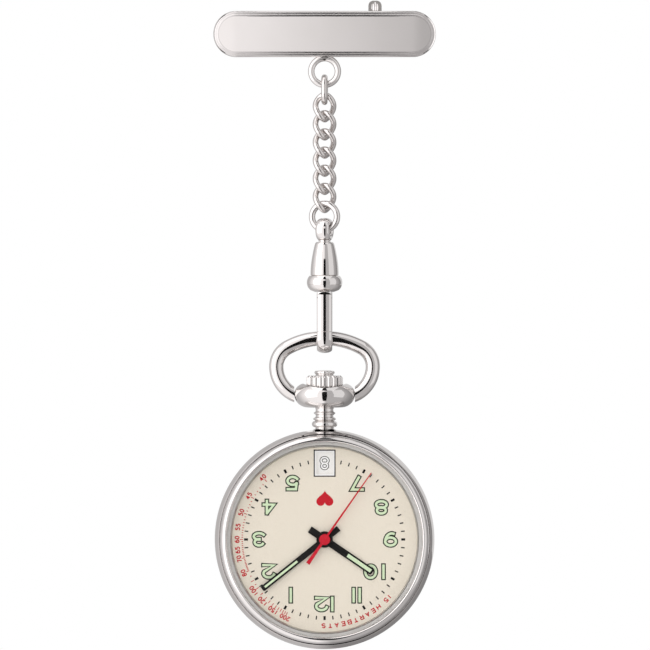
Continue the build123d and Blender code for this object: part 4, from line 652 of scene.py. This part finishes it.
middle_wall = np.concatenate([
    bulge((13.48, -5.20), (13.86, -4.45), (14.0, -2.9), 26),
    bulge((14.0, -2.9), (13.80, -1.55), (13.42, -1.00), 16)[1:],
    [(13.0, -1.0), (13.0, -1.25), (12.85, -1.25), (12.85, -4.53), (12.60, -4.53), (12.60, -4.95),
     (13.39, -4.95)],
])
piece("case_wall", [lathe(middle_wall, "watch", 320, closed=True)], "watch",
      bright_steel, ("case_middle",), crease=30)
bezel_line = np.concatenate([
    soften([(12.50, -5.27), (12.50, -6.18), (12.66, -6.31), (12.78, -6.29)], 0.06, 4)[:-1],
    bulge((12.78, -6.29), (13.14, -6.00), (13.36, -5.35), 18),
    [(13.32, -4.97), (12.05, -4.97), (12.05, -5.27)],
])
piece("bezel_ring", [lathe(bezel_line, "watch", 320, closed=True)], "watch",
      bright_steel, ("bezel",), crease=34)
slope_line = np.concatenate([
    [(11.84, -4.56), (12.04, -4.56), (12.04, -5.24), (11.96, -5.24)],
    bulge((11.96, -5.24), (11.855, -5.0), (11.80, -4.75), 6)[1:],
])
piece("sloping_ring", [lathe(slope_line, "watch", 240, closed=True)], "watch",
      blasted_steel, ("rehaut_ring",), crease=34)
glass_dome = bulge((12.25, -6.38), (6.2, -6.62), (0.0, -6.70), 26)
glass_line = np.concatenate([[(0, -5.56), (12.40, -5.56), (12.45, -5.61), (12.45, -6.18)], glass_dome])
piece("crystal_disc", [lathe(glass_line, "watch", 200)], "watch",
      mineral_glass, ("crystal",), crease=40)
back_line = np.concatenate([
    [(0, -0.10), (11.6, -0.10), (12.3, -0.55), (12.3, -1.55), (12.82, -1.55), (12.82, -0.98)],
    soften([(12.82, -0.98), (13.36, -0.98), (13.40, -0.94), (13.40, -0.80)], 0.05, 3)[1:-1],
    bulge((13.40, -0.80), (12.0, 0.32), (9.6, 0.90), 22)[:-1],
    soften([(9.66, 0.885), (9.5, 0.90), (9.44, 0.86), (9.30, 0.86), (9.24, 0.90), (9.0, 0.90)], 0.05, 4),
    [(0, 0.90)],
])
back_turn = np.linspace(0, 2 * np.pi, 360, endpoint=False)
NOTCH_HALF, NOTCH_DEPTH = 1.2, 0.45         # the knife notch at the foot of the back's edge
in_notch = np.abs(back_turn - 1.5 * np.pi) * 13.4 < NOTCH_HALF
at_edge = (back_line[:, 0] > 13.2) & (back_line[:, 1] < -0.6)
notch = NOTCH_DEPTH * at_edge[:, None] * in_notch
piece("back_cover", [lathe(back_line, "watch", 360, ripple=notch)], "back",
      ring_steel, ("case_back",), crease=30)

# %% [markdown]
# ## Printing on the dial
# A printed mark is a flat stroke a few hundredths of a millimetre high. Each one is a ribbon: four
# corner lines carried along a path, with mitred corners. Places on the dial are written as (right, up)
# for its owner, who sees 12 at the top. The watch hangs upside down, so right becomes -X and up -Z.


# %% Ribbons and marks
DIAL_Y, DATE_Y = -4.55, -4.14


def ribbon(path, width, front, closed=False, depth=0.02):
    """A flat stroke along (right, up) points: left and right edges, half a width out along the mitre."""
    path = np.asarray(path, float)
    if closed:
        ahead, behind = np.roll(path, -1, 0) - path, path - np.roll(path, 1, 0)
    else:
        steps = np.diff(path, axis=0)
        ahead, behind = np.concatenate([steps, steps[-1:]]), np.concatenate([steps[:1], steps])
    ahead = ahead / np.linalg.norm(ahead, axis=1, keepdims=True)
    behind = behind / np.linalg.norm(behind, axis=1, keepdims=True)
    along = ahead + behind
    along /= np.maximum(np.linalg.norm(along, axis=1, keepdims=True), 1e-9)
    out = np.stack([-along[:, 1], along[:, 0]], 1)
    mitre = 1 / np.maximum((along * ahead).sum(1, keepdims=True), 0.5)
    edge = out * mitre * width / 2
    corners = np.stack([path + edge, path + edge, path - edge, path - edge], 1)
    level = np.broadcast_to([front + depth, front, front, front + depth], corners.shape[:2])
    points = np.stack([-corners[..., 0], level, CASE_Z - corners[..., 1]], -1).reshape(-1, 3)
    blocks = [grid_faces(len(path), 4, closed=closed)]
    if not closed:
        blocks += [[[3, 2, 1, 0]], [[4 * len(path) - 4 + k for k in range(4)]]]
    return points, blocks


def dial_point(angle, radius):
    """(right, up) at an angle clockwise from 12, in degrees: r (sin a, cos a)."""
    return radius * np.array([np.sin(radians(angle)), np.cos(radians(angle))])


def radial_mark(angle, low, high, width, front):
    """A short straight stroke that points at the middle of the dial."""
    return ribbon([dial_point(angle, low), dial_point(angle, high)], width, front)


def plate(outline, front, depth=0.02):
    """A filled flat shape: its edge at the back, at the front, and drawn in to one point in the middle."""
    outline = np.asarray(outline, float)
    rows = np.stack([outline, outline, np.broadcast_to(outline.mean(0), outline.shape)])
    level = np.array([front + depth, front, front])[:, None] * np.ones((1, len(outline)))
    points = np.stack([-rows[..., 0], level, CASE_Z - rows[..., 1]], -1).reshape(-1, 3)
    return points, [grid_faces(3, len(outline)), np.arange(len(outline))[None]]


# %% [markdown]
# ## Shapes of the numbers
# The numbers are built from lines and arcs in a box one unit high. Their strokes are drawn twice, dark
# and then narrower and paler in front, which leaves a thin dark outline round a pale body.

# %% Number and letter shapes
HALF = 0.435


def arc(across, up, wide, tall, start, end, count=22):
    """Part of an ellipse: (across + wide cos t, up + tall sin t), from start to end in degrees."""
    turn = np.radians(np.linspace(start, end, count))
    return np.stack([across + wide * np.cos(turn), up + tall * np.sin(turn)], 1)


def joined(*parts):
    """One path through several parts."""
    return np.concatenate([np.asarray(part, float) for part in parts])


GLYPHS = {
    "0": [(arc(0, 0, HALF, 0.5, 0, 360, 41)[:-1], True)],
    "1": [([(0, -0.5), (0, 0.5)], False)],
    "2": [(joined(arc(0, 0.18, HALF, 0.32, 165, -32), [(-HALF, -0.5), (HALF, -0.5)]), False)],
    "3": [(arc(-0.02, 0.24, 0.36, 0.26, 150, -95), False), (arc(-0.02, -0.24, HALF, 0.26, 95, -150), False)],
    "4": [([(0.18, -0.5), (0.18, 0.5)], False), ([(0.14, 0.47), (-0.40, -0.2), (HALF, -0.2)], False)],
    "5": [([(0.36, 0.5), (-0.30, 0.5), (-0.36, 0.03)], False),
          (arc(-0.04, -0.18, 0.42, 0.32, 138, -150), False)],
    "6": [(arc(0, -0.18, HALF, 0.32, 0, 360, 37)[:-1], True), (arc(0.1, -0.18, 0.53, 0.66, 180, 75), False)],
    "7": [([(-HALF, 0.5), (HALF, 0.5), (-0.12, -0.5)], False)],
    "8": [(arc(0, 0.25, 0.36, 0.25, 0, 360, 37)[:-1], True),
          (arc(0, -0.23, HALF, 0.27, 0, 360, 37)[:-1], True)],
    "9": [(arc(0, 0.18, HALF, 0.32, 0, 360, 37)[:-1], True), (arc(-0.1, 0.18, 0.53, 0.66, 0, -105), False)],
    "H": [([(-HALF, -0.5), (-HALF, 0.5)], False), ([(HALF, -0.5), (HALF, 0.5)], False),
          ([(-HALF, 0), (HALF, 0)], False)],
    "E": [([(HALF, 0.5), (-HALF, 0.5), (-HALF, -0.5), (HALF, -0.5)], False),
          ([(-HALF, 0), (0.3, 0)], False)],
    "A": [([(-HALF, -0.5), (0, 0.5), (HALF, -0.5)], False), ([(-0.26, -0.15), (0.26, -0.15)], False)],
    "R": [(joined([(-HALF, -0.5), (-HALF, 0.5)], arc(0.1, 0.23, 0.33, 0.27, 90, -90), [(-HALF, -0.04)]),
           False), ([(0.05, -0.04), (HALF, -0.5)], False)],
    "T": [([(-HALF, 0.5), (HALF, 0.5)], False), ([(0, 0.5), (0, -0.5)], False)],
    "B": [(joined([(-HALF, 0), (-HALF, 0.5)], arc(0.1, 0.25, 0.3, 0.25, 90, -90)), True),
          (joined([(-HALF, -0.5), (-HALF, 0)], arc(0.1, -0.25, 0.33, 0.25, 90, -90)), True)],
    "S": [(joined(arc(0, 0.24, 0.38, 0.26, 30, 260), arc(0, -0.24, HALF, 0.26, 80, -150)), False)],
}


def character(letter, at, height, width, front, turn=0.0, narrow=1.0, depth=0.02, reach=0.0):
    """The ribbons of one character: its unit shape scaled, turned clockwise by `turn`, and moved.

    Open strokes are made longer by `reach` at both ends, and each stroke lies 4 micrometres proud of
    the one before it, so that crossing strokes never share a plane.
    """
    right = np.array([np.cos(radians(turn)), -np.sin(radians(turn))])
    up = np.array([np.sin(radians(turn)), np.cos(radians(turn))])
    strokes = []
    for number, (path, closed) in enumerate(GLYPHS[letter]):
        path = np.asarray(path, float) * height * (narrow, 1)
        if not closed:
            for end, inner in ((0, 1), (-1, -2)):
                step = path[end] - path[inner]
                path[end] += reach * step / np.linalg.norm(step)
        placed = np.asarray(at) + path[:, :1] * right + path[:, 1:] * up
        strokes.append(ribbon(placed, width, front - 0.004 * number, closed, depth + 0.004 * number))
    return strokes


def curved_word(word, angle, radius, height, pitch, width, front, narrow=1.0):
    """Characters side by side on a circle, tops outwards, with their middle at this dial angle."""
    step = np.degrees(pitch / radius)
    strokes = []
    for place, letter in enumerate(word):
        turn = angle + (place - (len(word) - 1) / 2) * step
        strokes += character(letter, dial_point(turn, radius), height, width, front, turn, narrow)
    return strokes


print(len(GLYPHS), "characters")

# %% [markdown]
# ## The hour numbers
# The numbers 1 to 5 and 7 to 12 stand upright for the wearer. The 6 gives way to the date window.

# %% Hour numbers
NUMBER_HEIGHT, DARK_WIDTH, PALE_WIDTH = 1.56, 0.60, 0.31
HOUR_NUMBERS = [
    ("1", -0.98, 8.24), ("2", 0.39, 8.24), ("1", -4.48, 7.11), ("1", -3.71, 7.11), ("1", -7.52, 4.12),
    ("0", -5.87, 4.12), ("9", -8.42, -0.02), ("8", -7.24, -4.10), ("7", -4.18, -7.15), ("5", 4.14, -7.20),
    ("4", 7.09, -4.14), ("3", 8.40, -0.02), ("2", 7.13, 4.06), ("1", 4.32, 7.11),
]
dark_strokes, pale_strokes = [], []
for digit, right, up in HOUR_NUMBERS:
    dark_strokes += character(digit, (right, up), NUMBER_HEIGHT, DARK_WIDTH, DIAL_Y - 0.012, reach=0.30)
    pale_strokes += character(digit, (right, up), NUMBER_HEIGHT, PALE_WIDTH, DIAL_Y - 0.03, depth=0.04,
                              reach=0.155)
piece("number_outlines", dark_strokes, "watch", outline_ink)
piece("number_lume", pale_strokes, "watch", green_lume)

# %% [markdown]
# ## The minute track and the pulse scale
# Sixty marks run round the dial, thick ones at the hours. Outside them on one side is the red scale a
# nurse uses: count 15 heartbeats from 12 and read the pulse. At a rate of R beats a minute, 15 beats
# take 900 / R seconds, and the hand turns 6 degrees a second, so the mark for R stands at 5400 / R
# degrees.

# %% Minute track and pulse scale
PRINT_Y = DIAL_Y - 0.012    # front of the printed scales
thin_marks, hour_marks = [], []
for minute in range(60):
    if abs(minute - 30) < 2:
        continue
    if minute % 5:
        thin_marks.append(radial_mark(6 * minute, 9.80, 10.28, 0.15, PRINT_Y))
    else:
        hour_marks.append(radial_mark(6 * minute, 9.78, 10.29, 0.29, PRINT_Y))
piece("track_marks", thin_marks + hour_marks, "watch", black_ink)

pulse = []
for rate in (*range(40, 80), *range(80, 100, 5), *range(100, 150, 10), *range(150, 201, 10)):
    far = 10.84 if rate % 10 == 0 or rate == 45 else 10.62
    pulse.append(radial_mark(5400 / rate, 10.42, far, 0.09, PRINT_Y))
for rate in (200, 150, 120, 100, 80, 70, 65, 60, 55, 50, 45, 40):
    pulse += curved_word(str(rate), 5400 / rate, 11.18, 0.50, 0.47, 0.13, PRINT_Y, narrow=0.72)
pulse += curved_word("HEARTBEATS", 341.0, 11.02, 0.50, 0.84, 0.13, PRINT_Y)
pulse += curved_word("15", 313.0, 11.02, 0.50, 0.62, 0.12, PRINT_Y)
piece("pulse_scale", pulse, "watch", red_ink)

# %% [markdown]
# ## The heart and the date window
# A small red heart marks a nurse's watch. Its outline is the well-known heart curve. The date window has
# a white border with a fine black frame, and the date ring under it carries the numbers 1 to 31, one
# step of 360 / 31 degrees apart and all with their tops to the middle of the dial.

# %% Heart, window frame and dates
heart_turn = np.linspace(0, 2 * np.pi, 90, endpoint=False)
heart_right = 16 * np.sin(heart_turn) ** 3
heart_up = (13 * np.cos(heart_turn) - 5 * np.cos(2 * heart_turn) - 2 * np.cos(3 * heart_turn)
            - np.cos(4 * heart_turn))
heart_outline = 0.068 * np.stack([heart_right, heart_up], 1) + (-0.03, -5.10)
piece("red_heart", [plate(heart_outline, DIAL_Y - 0.014)], "watch", red_ink)


def window_border(wide, tall, width, front):
    """A closed rectangular ribbon round the date window."""
    corners = np.array([(-wide, -tall), (wide, -tall), (wide, tall), (-wide, tall)]) / 2
    return ribbon(corners + (0, -9.74), width, front, closed=True)


piece("window_ground", [window_border(2.345, 3.01, 0.245, DIAL_Y - 0.010)], "watch",
      white_ink)
piece("window_frame", [window_border(2.65, 3.32, 0.15, DIAL_Y - 0.014)], "watch",
      black_ink)

date_dark, date_pale = [], []
SHOWN_DAY, DATE_RADIUS, DATE_HEIGHT = 8, 9.74, 1.42
for day in range(1, 32):
    turn = 180 + (day - SHOWN_DAY) * 360 / 31
    upright = turn + 180
    right = np.array([np.cos(radians(upright)), -np.sin(radians(upright))])
    for place, digit in enumerate(str(day)):
        shift = (place - (len(str(day)) - 1) / 2) * 0.92
        at = dial_point(turn, DATE_RADIUS) + shift * right
        narrow = 0.74 if day < 10 else 0.74 * 0.62
        date_dark += character(digit, at, DATE_HEIGHT, 0.38, DATE_Y - 0.012, upright, narrow, reach=0.19)
        date_pale += character(digit, at, DATE_HEIGHT, 0.20, DATE_Y - 0.026, upright, narrow, depth=0.03,
                               reach=0.10)
piece("date_outlines", date_dark, "date", black_ink)
piece("date_numbers", date_pale, "date", white_ink)

# %% [markdown]
# ## Luminous strips of the hands
# Each black hand has a long window filled with the same green paint as the numbers, so the time can be
# read in a dark ward. The strips lie a hair proud of the hand.

# %% Hand strips
HANDS = {"hour": (304.3, 3.55, 7.15, 0.46, -4.82), "minute": (51.5, 4.45, 9.75, 0.28, -5.06)}
for hand, (angle, near, far, width, front) in HANDS.items():
    strip = radial_mark(angle, near, far, width, front - 0.012)
    piece(f"{hand}_hand_lume", [strip], hand, green_lume)

# %% [markdown]
# ## Floor and light
# The watch hangs in front of an even white, above a pale floor. Polished steel shows nothing but its
# surroundings, so the light is built for the steel: big soft panels on both sides and above make the
# pale bodies, and narrow black cards in front make the thin dark lines that run down the middle of
# every round piece. One more panel lights the dial, and the steel doesn't show it.


# %% Stage
def flat_panel(name, corners, material):
    """A single four-cornered sheet, with corners in millimetres."""
    mesh = bpy.data.meshes.new(name)
    mesh.from_pydata((np.array(corners) * MM).tolist(), [], [(0, 1, 2, 3)])
    mesh.materials.append(material)
    sheet = new_object(name, mesh)
    return sheet


paper = finish("white_studio_paper", "#ffffff", "#fdfdfd", 300.0, 0.0, (0.9, 0.95), 40.0, 1.0)
black_card = finish("matt_black_card", "#050505", "#060606", 300.0, 0.0, (0.95, 0.98), 40.0, 1.0)
floor = flat_panel("floor", [(-700, -700, -105), (700, -700, -105), (700, 700, -105), (-700, 700, -105)],
                   paper)
floor.visible_glossy = False
CARD_Y = -60
CARDS = {
    "lower_card": (-9.5, 9.5, -150, -12),
    "upper_card": (-12, 12, 9, 190),
}
for card_name, (left, right, low, high) in CARDS.items():
    card = flat_panel(card_name, [(left, CARD_Y, low), (right, CARD_Y, low), (right, CARD_Y, high),
                                  (left, CARD_Y, high)], black_card)
    card.visible_camera = card.visible_diffuse = card.visible_shadow = False
print(len(CARDS), "cards")


# %% Light
def soft_panel(name, place, target, size, power):
    """A rectangular area light at a place in metres, turned to face a target."""
    data = bpy.data.lights.new(name, "AREA")
    data.shape, data.energy = "RECTANGLE", power
    data.size, data.size_y = size
    lamp = new_object(name, data)
    lamp.location = place
    lamp.rotation_euler = (Vector(target) - Vector(place)).to_track_quat("-Z", "Y").to_euler()
    return lamp


middle = (0.0, 0.0, -0.040)
soft_panel("left_panel", (-0.75, -0.55, 0.10), middle, (0.9, 1.4), 2.6)
soft_panel("right_panel", (0.80, -0.50, 0.10), middle, (0.8, 1.4), 1.2)
soft_panel("top_panel", (0.0, -0.25, 0.85), middle, (1.2, 0.9), 1.3)
soft_panel("back_panel", (0.35, 0.80, 0.25), middle, (0.9, 0.9), 1.2)

dial_fill = soft_panel("dial_fill", (0.0, -0.90, 0.05), middle, (0.5, 0.5), 1.9)
dial_fill.visible_glossy = False

world = bpy.data.worlds.new("pale_studio")
bpy.context.scene.world = world
world.use_nodes = True
air_tree = world.node_tree
air_tree.nodes.clear()
sky = add_node(air_tree, "ShaderNodeTexCoord").outputs["Generated"]
split = add_node(air_tree, "ShaderNodeSeparateXYZ", {}, {}, {"Vector": sky})
# brighter on the left of the lens than on the right, and dimmer behind the watch than in front of it
across = add_node(air_tree, "ShaderNodeMapRange", {},
                  {"From Min": -0.06, "From Max": 0.07, "To Min": 1.18, "To Max": 0.56},
                  {"Value": split.outputs["X"]})
behind = add_node(air_tree, "ShaderNodeMapRange", {},
                  {"From Min": -0.15, "From Max": 0.60, "To Min": 1.0, "To Max": 0.50},
                  {"Value": split.outputs["Y"]})
shade = add_node(air_tree, "ShaderNodeMath", {"operation": "MULTIPLY"}, {},
                 {0: across.outputs["Result"], 1: behind.outputs["Result"]})
air = add_node(air_tree, "ShaderNodeBackground", {}, {"Color": linear("#fbf8f8")},
               {"Strength": shade.outputs[0]})
# the lens itself looks at an even white, as before a lit paper roll
lens_ray = add_node(air_tree, "ShaderNodeLightPath").outputs["Is Camera Ray"]
white_roll = add_node(air_tree, "ShaderNodeBackground", {},
                      {"Color": linear("#ffffff"), "Strength": 1.0})
seen = add_node(air_tree, "ShaderNodeMixShader", {}, {},
                {0: lens_ray, 1: air.outputs["Background"], 2: white_roll.outputs["Background"]})
add_node(air_tree, "ShaderNodeOutputWorld", {}, {}, {"Surface": seen.outputs["Shader"]})

# %% [markdown]
# ## Camera
# A long lens far away keeps the round case round and shows the chain, clip and watch without
# perspective. The lens is worked out from the width that the frame should take in.

# %% Camera
DISTANCE, FRAME_WIDTH = 1.2, 0.0831
lens = bpy.data.cameras.new("camera")
lens.sensor_width = 36.0
lens.lens = 36.0 * DISTANCE / FRAME_WIDTH
lens.clip_start, lens.clip_end = 0.05, 20.0
camera = new_object("camera", lens)
camera.location = (0.00005, HANG_Y * MM - DISTANCE, -0.03845)
camera.rotation_euler = (radians(90), 0, 0)
bpy.context.scene.camera = camera
bpy.context.scene.view_settings.view_transform = "Standard"
print("lens", round(lens.lens), "mm")
